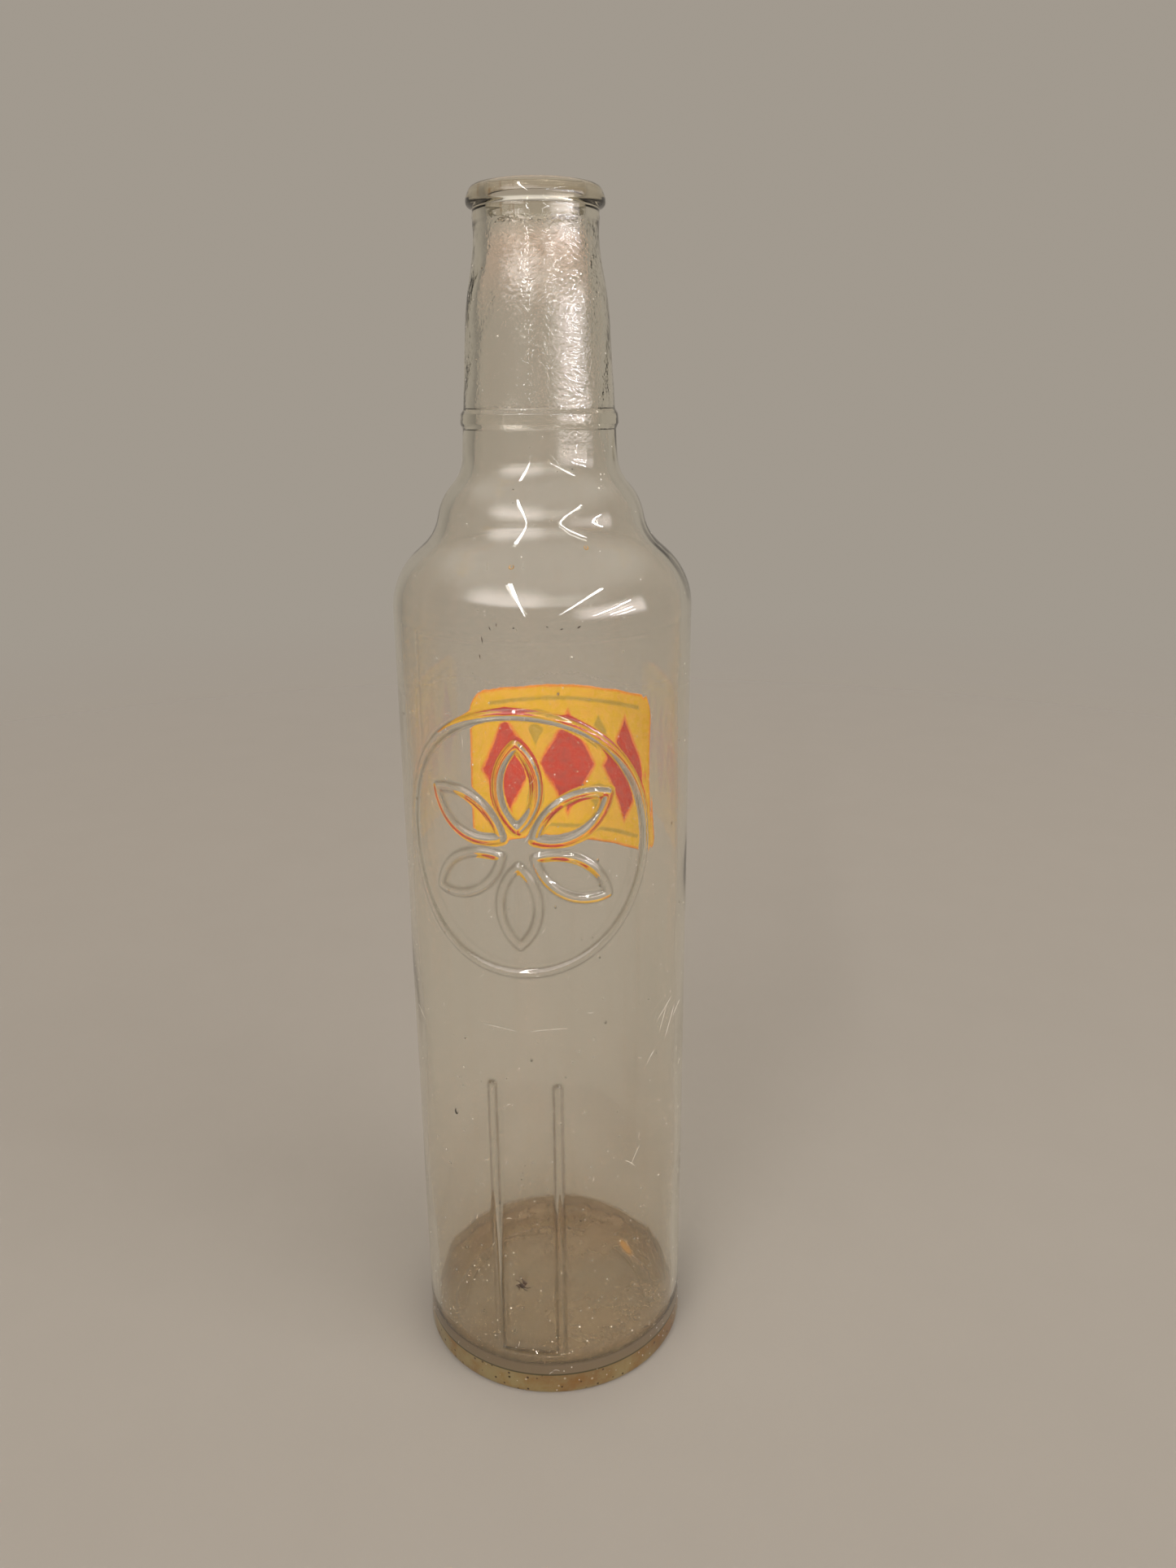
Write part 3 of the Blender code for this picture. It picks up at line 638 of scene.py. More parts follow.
def enamel_sheet(name, grids, lift, thickness, material):
    """A printed film on the back: grids of flat points wrapped round the wall and given a thickness.

    x runs along the wall and y up from the print's middle. Every point drifts by a small smooth
    wobble, as in a hand-cut stencil, and the film follows the glass's own swell.
    """
    points, faces, layers = [], [], {}
    start = 0
    for x, y, values in grids:
        shifted_x = x + 0.07 * waves(x / 6.0, y, 41, (1, 5), (3.0, 16.0))
        height = ENAMEL_MIDDLE + y + 0.09 * waves(x / 6.0, y, 42, (1, 5), (3.0, 16.0))
        angle = math.pi - shifted_x / BODY_RADIUS
        radius = BODY_RADIUS + outer_swell(angle, height) + lift
        points.append(round_axis(angle, radius, height).reshape(-1, 3))
        rows, columns = x.shape
        row = start + np.arange(rows - 1)[:, None] * columns
        here = np.arange(columns - 1)[None, :]
        corners = [row + here, row + here + columns, row + here + columns + 1, row + here + 1]
        faces.append(np.stack(corners, axis=-1).reshape(-1, 4))
        start += rows * columns
        for layer, value in values.items():
            layers.setdefault(layer, []).append(value.ravel())
    piece = mesh_piece(name, np.concatenate(points), faces, material)
    for layer, values in layers.items():
        set_attribute(piece, layer, np.concatenate(values))
    form = bmesh.new()
    form.from_mesh(piece.data)
    bmesh.ops.remove_doubles(form, verts=form.verts[:], dist=0.02 * MM)
    form.to_mesh(piece.data)
    form.free()
    solid = piece.modifiers.new("film_thickness", "SOLIDIFY")
    solid.thickness = thickness * MM
    solid.offset = 1.0
    return piece


def lozenge_film(name, middle_x, middle_y, half_width, half_height, fineness, lifts, material):
    """A lozenge as a square grid standing on its corner, stretched to its two diagonals."""
    share = np.linspace(0.0, 1.0, fineness)
    u, v = np.meshgrid(share, share)
    x = middle_x + (u - v) * half_width
    y = middle_y + (u + v - 1.0) * half_height
    edge = -lozenge_gap(x, y, middle_x, middle_y, half_width, half_height)
    return enamel_sheet(name, [(x, y, {"edge_distance": edge})], *lifts, material)


def rule_film(name, middle_y, lifts, material):
    """A level line with round ends: columns along it, whose half height closes in a half circle."""
    share = np.linspace(-1.0, 1.0, 7)[:, None]
    x = np.linspace(-RULE_HALF_LENGTH, RULE_HALF_LENGTH, 160)[None, :] + 0.0 * share
    past_end = np.maximum(np.abs(x) - RULE_HALF_LENGTH + RULE_HALF_WIDTH, 0.0)
    half = np.sqrt(np.maximum(RULE_HALF_WIDTH ** 2 - past_end ** 2, 0.01))
    edge = half * (1.0 - np.abs(share))
    return enamel_sheet(name, [(x, middle_y + share * half, {"edge_distance": edge})], *lifts, material)


def printed_over(x, y):
    """1 where a dark rule or small lozenge lies over the yellow, with a soft edge, and 0 elsewhere."""
    inside = RULE_HALF_WIDTH - np.abs(np.abs(y) - RULE_MIDDLE)
    inside = np.where(np.abs(x) < RULE_HALF_LENGTH, inside, -1.0)
    for middle_x in (-LOZENGE_PITCH / 2.0, LOZENGE_PITCH / 2.0):
        sizes = (SMALL_LOZENGE_HALF_WIDTH, SMALL_LOZENGE_HALF_HEIGHT)
        inside = np.maximum(inside, -lozenge_gap(x, np.abs(y), middle_x, SMALL_LOZENGE_OFFSET, *sizes))
    return fade(inside, -0.25, 0.25)


def panel_film(name, lifts, material):
    """The yellow panel as columns, parted round the three windows of the red lozenges.

    A column's upper half runs from the window's edge, or the middle line, to the panel's round-cornered
    edge, and the lower half mirrors it. The halves are joined where no window parts them.
    """
    middles = np.arange(-1, 2) * LOZENGE_PITCH
    window_half = LOZENGE_HALF_WIDTH - LOZENGE_OVERLAP
    window_rise = window_half * LOZENGE_HALF_HEIGHT / LOZENGE_HALF_WIDTH
    turn = np.linspace(0.0, math.pi / 2.0, 25)[1:]
    corner = PANEL_HALF_WIDTH - PANEL_CORNER + PANEL_CORNER * np.sin(turn)
    flat_end = PANEL_HALF_WIDTH - PANEL_CORNER
    marks = np.sort(np.concatenate([middles - window_half, middles, middles + window_half]))
    marks = marks[np.abs(marks) < flat_end]
    marks = np.concatenate([[-flat_end], marks, [flat_end]])
    spread = [np.linspace(a, b, math.ceil((b - a) / 0.4), endpoint=False) for a, b in zip(marks, marks[1:])]
    side_window = middles[-1] + window_half
    x = np.sort(np.concatenate([-corner, *spread, [flat_end], corner, [side_window, -side_window]]))[None, :]
    into_window = 1.0 - np.abs(x - middles[:, None]).min(axis=0, keepdims=True) / window_half
    window = np.maximum(into_window, 0.0) * window_rise
    past = np.maximum(np.abs(x) - flat_end, 0.0)
    top = PANEL_HALF_HEIGHT - PANEL_CORNER + np.sqrt(np.maximum(PANEL_CORNER ** 2 - past ** 2, 0.0))
    share = np.linspace(0.0, 1.0, 50)[:, None]
    flat_x = x + 0.0 * share
    y = window + share * (top - window)
    edge = np.minimum(PANEL_HALF_WIDTH - np.abs(flat_x), top - y)
    for middle in middles:
        gap = lozenge_gap(flat_x, y, middle, 0.0, LOZENGE_HALF_WIDTH, LOZENGE_HALF_HEIGHT)
        edge = np.minimum(edge, np.maximum(gap, 0.0))
    values = {"edge_distance": edge, "printed_over": printed_over(flat_x, y)}
    mirrored = {layer: value[::-1] for layer, value in values.items()}
    halves = [(flat_x[::-1], -y[::-1], mirrored), (flat_x, y, values)]
    return enamel_sheet(name, halves, *lifts, material)


def feed(node, inputs):
    """Sets each named input of a node to a value, or links it to a socket in the node's own tree."""
    for key, value in inputs.items():
        if isinstance(value, bpy.types.NodeSocket):
            node.id_data.links.new(value, node.inputs[key])
        else:
            node.inputs[key].default_value = value


def plug_in(tree, kind, inputs=None, **settings):
    """A new node with its settings and with its named inputs fed."""
    node = tree.nodes.new(kind)
    for setting, value in settings.items():
        setattr(node, setting, value)
    feed(node, inputs or {})
    return node


def maths(operation, *values, clamp=False):
    """A math node's result. Such helpers add their node to the tree that their first socket is in."""
    settings = {"operation": operation, "use_clamp": clamp}
    return plug_in(values[0].id_data, "ShaderNodeMath", dict(enumerate(values)), **settings).outputs[0]


def product(*factors):
    """The factors multiplied one after another."""
    total = factors[0]
    for factor in factors[1:]:
        total = maths("MULTIPLY", total, factor)
    return total


def scaled(value, factor, base):
    """A value times a factor, on top of a base."""
    return maths("MULTIPLY_ADD", value, factor, base)


def vector_length(vector):
    node = plug_in(vector.id_data, "ShaderNodeVectorMath", {0: vector}, operation="LENGTH")
    return node.outputs["Value"]


def between(value, low, high, to_low=0.0, to_high=1.0):
    """A value from low to high mapped smoothly to the range from to_low to to_high."""
    inputs = {"Value": value, "From Min": low, "From Max": high, "To Min": to_low, "To Max": to_high}
    node = plug_in(value.id_data, "ShaderNodeMapRange", inputs, interpolation_type="SMOOTHSTEP")
    return node.outputs["Result"]


def mixed(share, *tones):
    """A tone between two tones, each of them a socket or the three numbers of a colour."""
    first, second = [(*tone, 1.0) if isinstance(tone, tuple) else tone for tone in tones]
    inputs = {0: share, 6: first, 7: second}
    return plug_in(share.id_data, "ShaderNodeMix", inputs, data_type="RGBA").outputs[2]


def layered(tone, *layers):
    """A tone with colours laid over it in turn, each by its own share."""
    for share, colour in layers:
        tone = mixed(share, tone, colour)
    return tone


def noise(place, scale, detail=2.0, roughness=0.5):
    inputs = {"Vector": place, "Scale": scale, "Detail": detail, "Roughness": roughness}
    return plug_in(place.id_data, "ShaderNodeTexNoise", inputs).outputs["Fac"]


def painted(tree, name):
    """The value that a piece's mesh carries under a name."""
    return plug_in(tree, "ShaderNodeAttribute", attribute_name=name).outputs["Fac"]


def new_material(name):
    material = bpy.data.materials.new(name)
    material.use_nodes = True
    return material, material.node_tree, material.node_tree.nodes["Principled BSDF"]


def effect(name, inputs, output, wiring):
    """A node group with named inputs and one named output, wired by a function of tree and inputs."""
    group = bpy.data.node_groups.new(name, "ShaderNodeTree")
    for socket, kind in inputs.items():
        group.interface.new_socket(socket, in_out="INPUT", socket_type=kind)
    group.interface.new_socket(output, in_out="OUTPUT", socket_type="NodeSocketFloat")
    entry = group.nodes.new("NodeGroupInput")
    leaving = group.nodes.new("NodeGroupOutput")
    group.links.new(wiring(group, entry.outputs), leaving.inputs[output])
    return group


def streak_wiring(tree, given):
    """Noise stretched upwards seventeen times, as runs of oil or drips of dirt."""
    drawn_out = plug_in(tree, "ShaderNodeMapping", {"Vector": given["Place"], "Scale": (1.0, 1.0, 0.06)})
    runs = noise(drawn_out.outputs[0], given["Scale"], 5.0, 0.6)
    return between(runs, given["Low"], given["High"])


def cloud_wiring(tree, given):
    """Many-scaled noise cut to soft patches."""
    return between(noise(given["Place"], given["Scale"], 6.0, 0.65), given["Low"], given["High"])


def fleck_wiring(tree, given):
    """Round dots in a random share of the cells of a cell pattern."""
    inputs = {"Vector": given["Place"], "Scale": given["Scale"]}
    cells = plug_in(tree, "ShaderNodeTexVoronoi", inputs)
    drawn = plug_in(tree, "ShaderNodeSeparateColor", {0: cells.outputs["Color"]}).outputs[0]
    chosen = maths("LESS_THAN", drawn, given["Share"])
    dot = between(cells.outputs["Distance"], given["Size"], product(given["Size"], 0.5))
    return product(chosen, dot)


def ripple_wiring(tree, given):
    """A fine unevenness of the surface, as fire polish and moulding leave it."""
    fine = noise(given["Place"], given["Scale"], 1.0, 0.4)
    broad = noise(given["Place"], product(given["Scale"], 0.27), 1.0)
    return scaled(broad, given["Broad Share"], fine)


def surface_effects():
    """The node groups that more than one material uses."""
    number, vector = "NodeSocketFloat", "NodeSocketVector"
    masked = {"Place": vector, "Scale": number, "Low": number, "High": number}
    dotted = {"Place": vector, "Scale": number, "Size": number, "Share": number}
    rippled = {"Place": vector, "Scale": number, "Broad Share": number}
    return {
        "streaks": effect("upright_streaks", masked, "Streaks", streak_wiring),
        "clouds": effect("soft_clouds", masked, "Clouds", cloud_wiring),
        "flecks": effect("round_flecks", dotted, "Flecks", fleck_wiring),
        "ripple": effect("fine_ripple", rippled, "Height", ripple_wiring),
    }


def place_effect(group, place, **values):
    inputs = {key.replace("_", " ").title(): value for key, value in values.items()}
    return plug_in(place.id_data, "ShaderNodeGroup", {"Place": place, **inputs}, node_tree=group).outputs[0]


def object_point(tree):
    return plug_in(tree, "ShaderNodeTexCoord").outputs["Object"]


def object_place(tree):
    """The point on the piece, how far it lies to the right, and its height above the table."""
    place = object_point(tree)
    axes = plug_in(tree, "ShaderNodeSeparateXYZ", {0: place}).outputs
    return place, axes["X"], axes["Z"]


def raise_surface(shader, height, distance):
    bump = plug_in(height.id_data, "ShaderNodeBump", {"Height": height, "Distance": distance})
    feed(shader, {"Normal": bump.outputs["Normal"]})


def glass_material(effects):
    """Pale glass: rippled on the neck, scuffed where it rubs, dirty at the lip, and darkened beside its
    raised lines by dirt and painted shade.
    """
    material, tree, shader = new_material("moulded_glass")
    place, aside, height = object_place(tree)
    ripple = place_effect(effects["ripple"], place, scale=1200.0, broad_share=1.0)
    up_neck = between(height, 0.262, 0.292, 0.03, 1.0)
    below_lip = between(height, 0.3235, 0.3195)
    off_front = maths("ABSOLUTE", maths("SUBTRACT", aside, 0.0035))
    in_front = between(off_front, 0.0140, 0.0105, 0.25, 1.0)
    on_neck = product(up_neck, below_lip, in_front)
    raise_surface(shader, product(ripple, on_neck), 0.00012)
    scuffs = place_effect(effects["flecks"], place, scale=420.0, size=0.16, share=0.10)
    low_down = between(height, 0.20, 0.02, 0.25, 1.0)
    drips = place_effect(effects["streaks"], place, scale=420.0, low=0.56, high=0.66)
    at_left = between(aside, -0.002, -0.008, 0.0, 0.75)
    stain = product(between(height, 0.316, 0.322), drips, at_left)
    patchy = place_effect(effects["clouds"], place, scale=160.0, low=0.30, high=0.62)
    # Painted shade with dirt: a dark band beside each raised line stands for the dark edges that the lines
    # refract
    lodged_dirt_and_shade = product(painted(tree, "line_dirt_and_shade"), scaled(patchy, 0.35, 0.45))
    trails = place_effect(effects["streaks"], place, scale=170.0, low=0.57, high=0.68)
    tone = layered(
        (0.985, 0.985, 0.97),
        (between(height, 0.323, 0.3265), (0.93, 0.885, 0.81)),
        (stain, (0.62, 0.40, 0.22)),
        # Dark tone of the painted shade and dirt beside the raised lines
        (lodged_dirt_and_shade, (0.22, 0.17, 0.10)),
        (product(trails, 0.10), (0.62, 0.54, 0.44)),
    )
    feed(shader, {"Base Color": tone, "Roughness": product(scuffs, low_down, 0.35)})
    feed(shader, {"IOR": GLASS_IOR, "Transmission Weight": 1.0})
    thickness_tint = {"Color": GLASS_TINT, "Density": GLASS_TINT_DENSITY}
    absorption = plug_in(tree, "ShaderNodeVolumeAbsorption", thickness_tint)
    feed(tree.nodes["Material Output"], {"Volume": absorption.outputs["Volume"]})
    return material


def dried_oil_and_reflection_material(effects):
    """Old oil: a faint streaky veil, a warm haze at the mouth, amber at the left and right sides that is
    partly oil and partly painted reflection, and a clouded floor.
    """
    material, tree, shader = new_material("dried_oil_haze_and_reflection")
    place, aside, height = object_place(tree)
    runs = place_effect(effects["streaks"], place, scale=260.0, low=0.50, high=0.74)
    cloud = place_effect(effects["clouds"], place, scale=38.0, low=0.30, high=0.75)
    crumbs = place_effect(effects["flecks"], place, scale=520.0, size=0.22, share=0.16)
    cloudy = scaled(cloud, 0.6, 0.4)
    veil = product(runs, scaled(cloud, 0.8, 0.2))
    mouth = product(between(height, 0.298, 0.318), cloudy)
    low = between(height, 0.112, 0.020)
    on_floor = between(height, 0.0150, 0.0085)
    low_crumbs = product(crumbs, low)
    layers = (
        (veil, 0.060),
        (mouth, 0.21),
        (product(low, cloudy), 0.14),
        (between(height, 0.030, 0.009), 0.08),
        (on_floor, scaled(cloud, 0.16, 0.30)),
        (low_crumbs, 0.07),
    )
    haze = between(height, 0.120, 0.180, 0.004, 0.024)
    for share, weight in layers:
        haze = scaled(share, weight, haze)
    # Amber at the body's left and right sides: partly dried oil, partly a painted reflection of the warm
    # light that the edges refract
    oil_and_reflection_edges = between(maths("ABSOLUTE", aside), 0.0325, 0.0372)
    sides = product(oil_and_reflection_edges, between(height, 0.100, 0.180), between(height, 0.240, 0.214))
    haze = maths("MULTIPLY_ADD", sides, scaled(veil, 0.20, 0.07), haze, clamp=True)
    drop = drop_mask(place)
    haze = product(maths("MAXIMUM", haze, drop), between(height, 0.3225, 0.316))
    tone = layered(
        (0.95, 0.64, 0.50),
        (mouth, (0.95, 0.62, 0.46)),
        (low, (0.42, 0.30, 0.17)),
        (on_floor, (0.28, 0.20, 0.12)),
        (low_crumbs, (0.44, 0.34, 0.22)),
        # Amber of oil and painted reflection at the left and right sides
        (sides, (0.72, 0.40, 0.05)),
        (drop, (0.42, 0.19, 0.008)),
    )
    feed(shader, {"Base Color": tone, "Alpha": haze, "Roughness": 0.45, "Specular IOR Level": 0.1})
    return material


def drop_mask(place):
    """One amber drop dried low at the right, four times as long as wide and slanting."""
    inputs = {"Vector": place, "Location": DROP_PLACE, "Rotation": DROP_TURN, "Scale": DROP_SIZE}
    local = plug_in(place.id_data, "ShaderNodeMapping", inputs, vector_type="TEXTURE").outputs[0]
    return between(vector_length(local), 1.15, 0.35, 0.0, 0.75)


def grime_and_shade_material(effects):
    """Old oil and dust on the stand ring and heel: amber to olive clouds with grit, and a dark line of
    painted shade where the inner heel's corner shows dark through the wall.
    """
    material, tree, shader = new_material("stand_grime_and_shade_line")
    place, _, height = object_place(tree)
    cloud = place_effect(effects["clouds"], place, scale=130.0, low=0.35, high=0.68)
    broad = place_effect(effects["clouds"], place, scale=32.0, low=0.40, high=0.66)
    dark_grit = place_effect(effects["flecks"], place, scale=700.0, size=0.35, share=0.22)
    pale_grit = place_effect(effects["flecks"], place, scale=520.0, size=0.25, share=0.12)
    # Painted shade: a dark line at about 7 mm, where the inner heel's corner shows dark through the wall
    line = product(between(height, 0.0068, 0.0071), between(height, 0.0076, 0.0073))
    above = between(height, 0.0069, 0.0074)
    tone = layered(
        (0.50, 0.40, 0.19),
        (cloud, (0.36, 0.22, 0.06)),
        (product(broad, 0.8), (0.30, 0.14, 0.03)),
        (dark_grit, (0.09, 0.045, 0.015)),
        (pale_grit, (0.72, 0.62, 0.42)),
        (above, (0.30, 0.23, 0.145)),
        # Dark tone of the painted shade line
        (line, (0.10, 0.085, 0.03)),
    )
    thinning = between(height, 0.0124, 0.0102, 0.0, 0.88)
    cover = mixed(above, scaled(cloud, 0.16, 0.78), thinning)
    cover = maths("MAXIMUM", cover, product(line, 0.85))
    raise_surface(shader, cloud, 0.0001)
    feed(shader, {"Base Color": tone, "Alpha": cover, "Roughness": 0.7})
    return material


def enamel_material(effects, name, colour, deep, rim, rim_reach, worn_share):
    """Fired enamel: mottled from colour to deep, rim-coloured where thin at its edge, with worn dots."""
    material, tree, shader = new_material(name)
    place = object_point(tree)
    mottle = place_effect(effects["clouds"], place, scale=420.0, low=0.38, high=0.74)
    fired = place_effect(effects["ripple"], place, scale=600.0, broad_share=1.0)
    worn = place_effect(effects["flecks"], place, scale=900.0, size=0.24, share=worn_share)
    at_edge = between(painted(tree, "edge_distance"), rim_reach, 0.15 * rim_reach)
    tone = layered(
        colour,
        (mottle, deep),
        (product(painted(tree, "printed_over"), 0.8), (0.55, 0.38, 0.02)),
        (at_edge, rim),
        (worn, (0.80, 0.62, 0.46)),
    )
    raise_surface(shader, fired, 0.00003)
    feed(shader, {"Base Color": tone, "Roughness": scaled(mottle, 0.16, 0.24)})
    return material


def grain_material(effects, name, colour, other, roughness):
    """Dust, grit or a dark fleck: two tones clouded together, each grain a little different."""
    material, tree, shader = new_material(name)
    place = object_point(tree)
    cloud = place_effect(effects["clouds"], place, scale=300.0, low=0.35, high=0.65)
    rough_face = place_effect(effects["ripple"], place, scale=4000.0, broad_share=1.0)
    raise_surface(shader, rough_face, 0.00001)
    feed(shader, {"Base Color": mixed(cloud, colour, other), "Roughness": roughness})
    return material


def pale_floor():
    """A level disc whose pale colour fades out into the surround."""
    count, rows = 96, 30
    angles = FULL_TURN * np.arange(count) / count
    radii = FLOOR_RADIUS * (np.arange(1, rows + 1) / rows)[:, None] ** 1.5
    rings = round_axis(angles + 0.0 * radii, radii + 0.0 * angles, 0.0)
    points = np.concatenate([[[0.0, 0.0, 0.0]], rings.reshape(-1, 3)])
    faces = [fan_faces(0, 1, count, True), ring_faces(rows, count, 1)[:, ::-1]]
    material, tree, shader = new_material("pale_floor")
    floor = mesh_piece("studio_floor", points, faces, material)
    place = object_point(tree)
    grain = noise(place, 25.0, 4.0)
    tone = mixed(grain, (0.300, 0.271, 0.234), (0.288, 0.260, 0.224))
    near = between(vector_length(place), 1.45, 0.45)
    feed(shader, {"Base Color": tone, "Alpha": near, "Roughness": 0.9, "Specular IOR Level": 0.2})


def seen_directly(tree):
    """1 for rays that come from the camera straight or through glass without a reflection, otherwise 0."""
    path = plug_in(tree, "ShaderNodeLightPath").outputs
    seen = maths("MAXIMUM", path["Is Camera Ray"], path["Is Transmission Ray"])
    bounces = maths("ADD", path["Glossy Depth"], path["Diffuse Depth"])
    return product(seen, maths("LESS_THAN", bounces, 0.5))


def studio_surround():
    """A soft surround: plain at the horizon, brighter above, with windows that only reflections show."""
    world = bpy.data.worlds.new("studio_surround")
    world.use_nodes = True
    bpy.context.scene.world = world
    tree = world.node_tree
    direction = plug_in(tree, "ShaderNodeTexCoord").outputs["Generated"]
    axes = plug_in(tree, "ShaderNodeSeparateXYZ", {0: direction}).outputs
    upward = axes["Z"]
    turn = maths("ARCTAN2", axes["X"], product(axes["Y"], -1.0))
    inputs = {0: direction, 1: LEFT_GLOW_DIRECTION}
    towards = plug_in(tree, "ShaderNodeVectorMath", inputs, operation="DOT_PRODUCT").outputs["Value"]
    plain = layered(
        (0.36, 0.322, 0.274),
        (between(maths("ABSOLUTE", axes["X"]), 0.6, 0.95), (0.22, 0.197, 0.168)),
        (between(upward, 0.45, 0.85), (0.94, 0.90, 0.84)),
    )
    broad_front = product(
        between(upward, 0.35, 0.46),
        between(upward, 0.72, 0.56),
        between(maths("ABSOLUTE", turn), 1.3, 0.5),
    )
    left_glow = product(
        between(towards, 0.82, 0.98),
        between(upward, 0.35, 0.46),
        between(upward, 0.86, 0.50),
    )
    right_window = product(
        between(turn, 0.50, 0.86),
        between(turn, 1.71, 1.61),
        between(upward, 0.02, 0.12),
        between(upward, 0.42, 0.22),
    )
    windows = ((broad_front, (1.9, 1.8, 1.7)), (left_glow, (4.4, 4.1, 4.0)), (right_window, (4.0, 3.6, 3.55)))
    shown = mixed(seen_directly(tree), layered(plain, *windows), plain)
    feed(tree.nodes["Background"], {"Color": shown})


def lamp_row(name, near, far, width, radiance):
    """A level strip of light under the ceiling, from a near to a far end in plan, facing down."""
    data = bpy.data.lights.new(name, "AREA")
    data.shape = "RECTANGLE"
    run = Vector(far) - Vector(near)
    data.size, data.size_y = width, run.length
    data.energy = radiance * math.pi * width * run.length
    light = bpy.data.objects.new(name, data)
    light.location = (*((Vector(near) + Vector(far)) / 2.0), LAMP_HEIGHT)
    light.rotation_euler = (0.0, 0.0, math.atan2(-run.x, run.y))
    bpy.context.scene.collection.objects.link(light)


def camera():
    data = bpy.data.cameras.new("camera")
    data.lens = CAMERA_LENS
    eye = bpy.data.objects.new("camera", data)
    axes = Matrix((CAMERA_RIGHT, CAMERA_UP, CAMERA_BACK)).transposed().to_4x4()
    eye.matrix_world = Matrix.Translation(CAMERA_PLACE) @ axes
    bpy.context.scene.collection.objects.link(eye)
    bpy.context.scene.camera = eye


def settle(piece, slot, *nodes):
    """The piece rides with the bottle and may stand for CAD nodes, whose parts it hides. The slot is not
    used.
    """
    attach(piece, "root")
    if nodes:
        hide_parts(*nodes)


def enamel_prints(effects):
    """Yellow panel, red lozenges in its windows, and dark rules and small lozenges over it."""
    yellow, red, dark = [enamel_material(effects, *finish) for finish in ENAMELS]
    settle(panel_film("yellow_panel", YELLOW_LIFTS, yellow), "enamel_yellow", "enamel_yellow_panel")
    large = (LOZENGE_HALF_WIDTH, LOZENGE_HALF_HEIGHT, 41)
    small = (SMALL_LOZENGE_HALF_WIDTH, SMALL_LOZENGE_HALF_HEIGHT, 15)
    for number, middle in enumerate((-LOZENGE_PITCH, 0.0, LOZENGE_PITCH), 1):
        film = lozenge_film("red_lozenge_%d" % number, middle, 0.0, *large, RED_LIFTS, red)
        settle(film, "enamel_red", "enamel_red_lozenge_%d" % number)
    for place, side in (("lower", -1.0), ("upper", 1.0)):
        rule = rule_film("dark_rule_" + place, side * RULE_MIDDLE, DARK_LIFTS, dark)
        settle(rule, "enamel_dark", "enamel_dark_rule_" + place)
        for number, middle in enumerate((-LOZENGE_PITCH / 2.0, LOZENGE_PITCH / 2.0), 1):
            name = "%s_%d" % (place, number)
            up = side * SMALL_LOZENGE_OFFSET
            film = lozenge_film("dark_lozenge_" + name, middle, up, *small, DARK_LIFTS, dark)
            settle(film, "enamel_dark", "enamel_dark_lozenge_" + name)


def stand_grime_and_shade_line(material):
    """A skin just inside the glass over the stand ring and up past its rounded heel."""
    inset = BODY_RADIUS - GRIME_INSET
    foot = [(GRIME_INNER_RADIUS, GRIME_INSET, 0.0), (inset, GRIME_INSET, 1.7)]
    angles = FULL_TURN * np.arange(GRIME_COLUMNS) / GRIME_COLUMNS
    outline = rounded_outline(foot + [(inset - GRIME_INSET, GRIME_TOP, 0.0)], 0.8)
    block = turned_section(outline, angles, lambda angle, height: 0.0 * angle * height)
    return mesh_piece("stand_grime_and_shade_line", block, [ring_faces(len(outline), GRIME_COLUMNS, 0)], material)


def grain_sizes(halves, depth):
    """Half lengths across and up from two columns of numbers, with one depth for all."""
    return np.column_stack([halves, np.full(len(halves), depth)])


def dust_and_grit(draw, dust, amber):
    """Pale dust on the outside, thickest low down, and amber grit round the inner floor's edge."""
    on_body = 4.0 + 226.0 * draw.random(BODY_DUST) ** 1.5
    height = np.concatenate([on_body, draw.uniform(230.0, 318.0, NECK_DUST)])
    size = 0.15 * draw.lognormal(0.0, 0.42, (len(height), 1)) * np.array([1.0, 1.2, 0.16])
    angle = draw.uniform(-math.pi, math.pi, len(height))
    settle(specks("dust_specks", angle, height, np.clip(size, 0.02, 0.34), 72, dust), "glass")
    angle = draw.uniform(-math.pi, math.pi, FLOOR_GRIT)
    height = 6.9 + 3.0 * draw.random(FLOOR_GRIT) ** 3.0
    size = draw.uniform(0.05, 0.14, (FLOOR_GRIT, 1)) * np.array([1.0, 0.8, 0.5])
    settle(specks("inner_grit", angle, height, size, 73, amber, inside=True, lift=-0.25), "glass")


def dark_marks(dirt):
    """Dark flecks on the outside, and a small gnat dried on it: three lumps and seven bent legs."""
    flecks = np.array(FLECKS)
    sizes = 1.3 * grain_sizes(flecks[:, 2:], 0.04)
    settle(specks("dark_flecks", np.radians(flecks[:, 0]), flecks[:, 1], sizes, 74, dirt), "glass")
    lumps = np.array(GNAT_LUMPS)
    across, up = math.radians(GNAT_ANGLE), GNAT_HEIGHT
    angle = across + lumps[:, 0] / BODY_RADIUS
    settle(specks("dried_gnat", angle, up + lumps[:, 1], grain_sizes(lumps[:, 2:], 0.1), 75, dirt), "glass")
    legs = np.array(GNAT_LEGS)
    reach = legs[:, 1:] * np.linspace(0.1, 1.0, 7)[None, :]
    bend = np.radians(legs[:, :1]) + 0.5 * np.linspace(-0.5, 1.0, 7)[None, :]
    angle = across + reach * np.cos(bend) / BODY_RADIUS
    settle(threads("gnat_legs", angle, up + reach * np.sin(bend), np.full(7, 0.15), dirt), "glass")


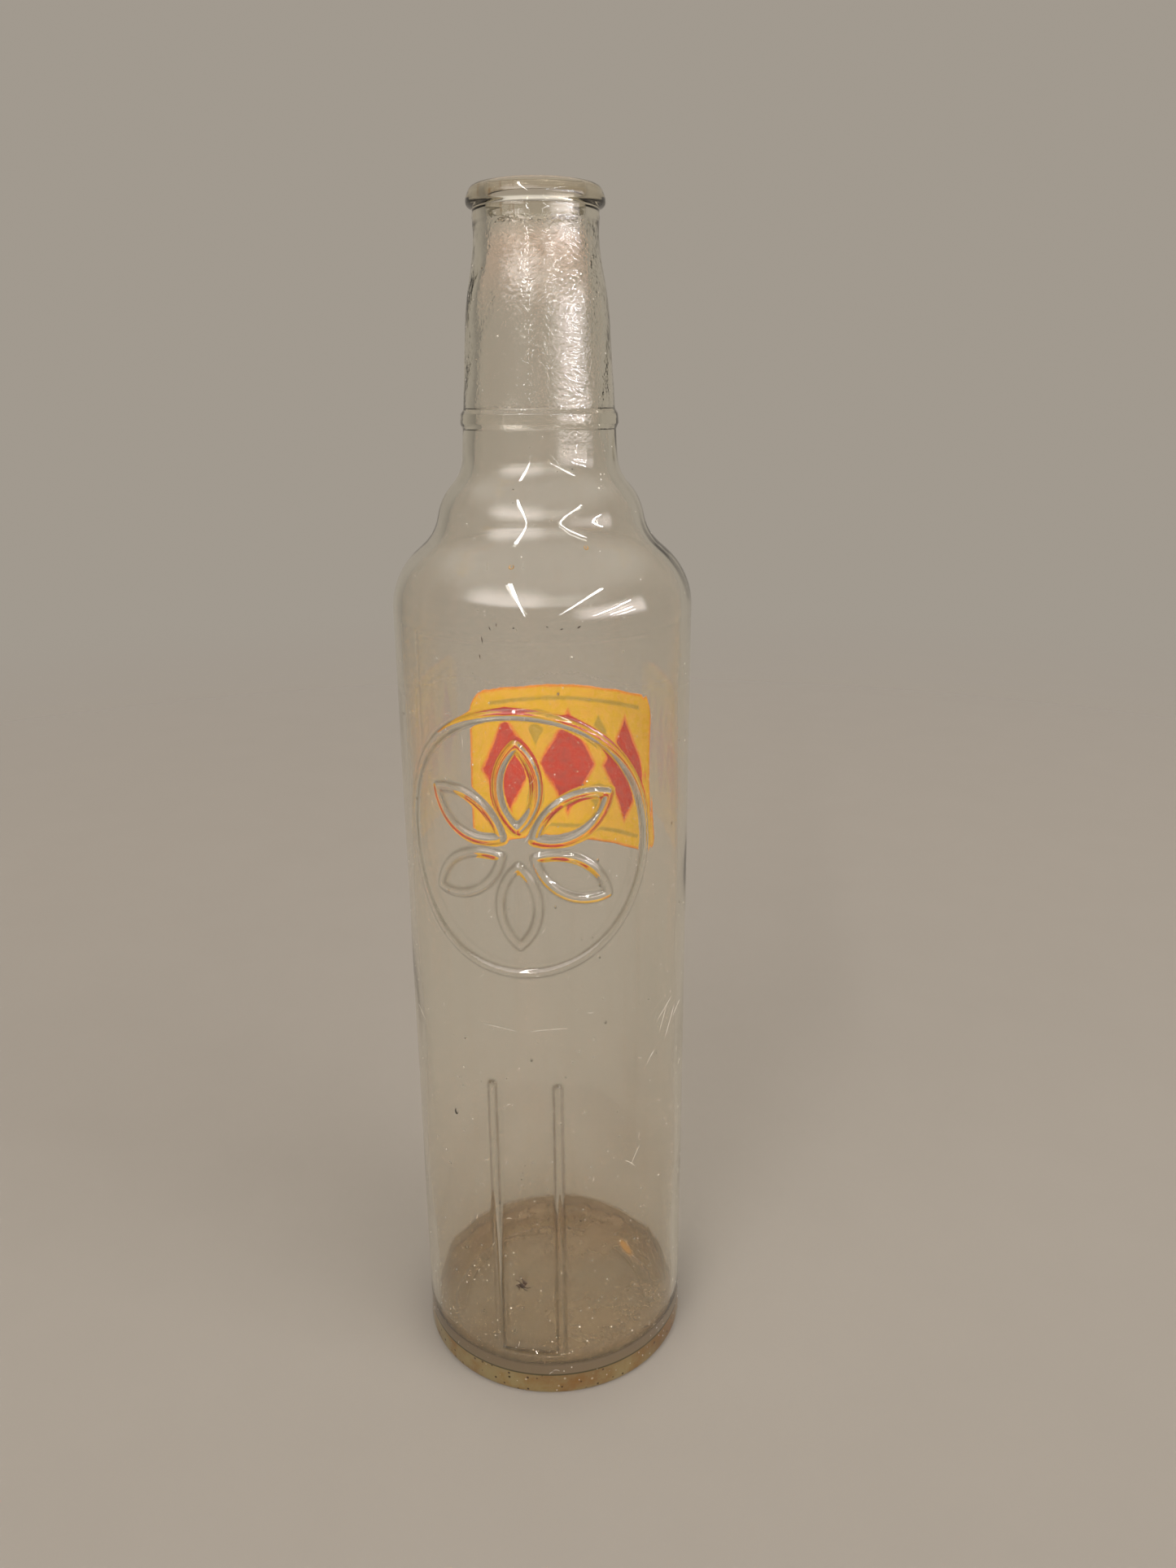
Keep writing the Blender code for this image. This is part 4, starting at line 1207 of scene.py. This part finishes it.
def scratches(draw, dust):
    """Short scratches at random, mostly low down, and longer scuffs at set places."""
    count = SCRATCH_COUNT
    along = np.linspace(-0.5, 0.5, 9)[None, :]
    length = draw.uniform(0.5, 2.6, (count, 1))
    slant = draw.normal(0.9, 0.5, (count, 1))
    curl = draw.normal(0.0, 0.5, (count, 1))
    start = draw.uniform(-math.pi, math.pi, (count, 1))
    angle = start + length * along * np.cos(slant + curl * along) / BODY_RADIUS
    height = 8.0 + 215.0 * draw.random((count, 1)) ** 1.5 + length * along * np.sin(slant + curl * along)
    scuffs = np.array(SCUFFS)
    passed = along + 0.5
    scuff_angle = np.radians(scuffs[:, :1] + (scuffs[:, 1:2] - scuffs[:, :1]) * passed)
    scuff_height = scuffs[:, 2:3] + (scuffs[:, 3:] - scuffs[:, 2:3]) * passed + 0.4 * np.cos(3.0 * along)
    width = np.concatenate([draw.uniform(0.035, 0.07, count), np.full(len(scuffs), SCUFF_WIDTH)])
    angle = np.concatenate([angle, scuff_angle])
    height = np.concatenate([height, scuff_height])
    settle(threads("scratches", angle, height, width, dust), "glass")


def seed_marks(dirt, amber):
    """Two small marks on the shoulder: a thin amber ring round a dark heart."""
    seeds = np.array(SEED_MARKS)
    around = np.radians(np.linspace(100.0, 445.0, 15))[None, :]
    angle = np.radians(seeds[:, :1]) + 0.5 * np.cos(around) / 31.0
    height = seeds[:, 1:] + 0.42 * np.sin(around)
    settle(threads("seed_rings", angle, height, np.full(2, 0.17), amber), "glass")
    sizes = np.full((2, 3), 0.13) * np.array([1.0, 1.0, 0.4])
    settle(specks("seed_hearts", np.radians(seeds[:, 0]), seeds[:, 1], sizes, 76, dirt), "glass")


def dust_and_wear(effects):
    """Dust, grit, flecks, scratches and ringed marks; one run of random numbers feeds them in this order."""
    dust = grain_material(effects, "pale_dust", (0.92, 0.86, 0.78), (0.70, 0.63, 0.52), 0.8)
    dirt = grain_material(effects, "dark_dirt", (0.07, 0.035, 0.02), (0.03, 0.018, 0.012), 0.7)
    amber = grain_material(effects, "amber_grit", (0.55, 0.30, 0.07), (0.26, 0.14, 0.05), 0.5)
    draw = np.random.default_rng(71)
    dust_and_grit(draw, dust, amber)
    dark_marks(dirt)
    scratches(draw, dust)
    seed_marks(dirt, amber)


def build():
    bpy.context.scene.view_settings.view_transform = "Standard"
    # Glossy rays stay sharp, which keeps the light that reaches enamel and dried oil through the glass
    bpy.context.scene.cycles.blur_glossy = 0.0
    studio_surround()
    for row in LAMP_ROWS:
        lamp_row(*row)
    camera()
    pale_floor()
    effects = surface_effects()
    settle(bottle_glass(glass_material(effects)), "glass", "glass_bottle")
    oil = inside_film("dried_oil", OIL_STEP, OIL_COLUMNS, OIL_LIFT, dried_oil_and_reflection_material(effects))
    settle(oil, "glass")
    settle(stand_grime_and_shade_line(grime_and_shade_material(effects)), "glass")
    enamel_prints(effects)
    dust_and_wear(effects)


build()
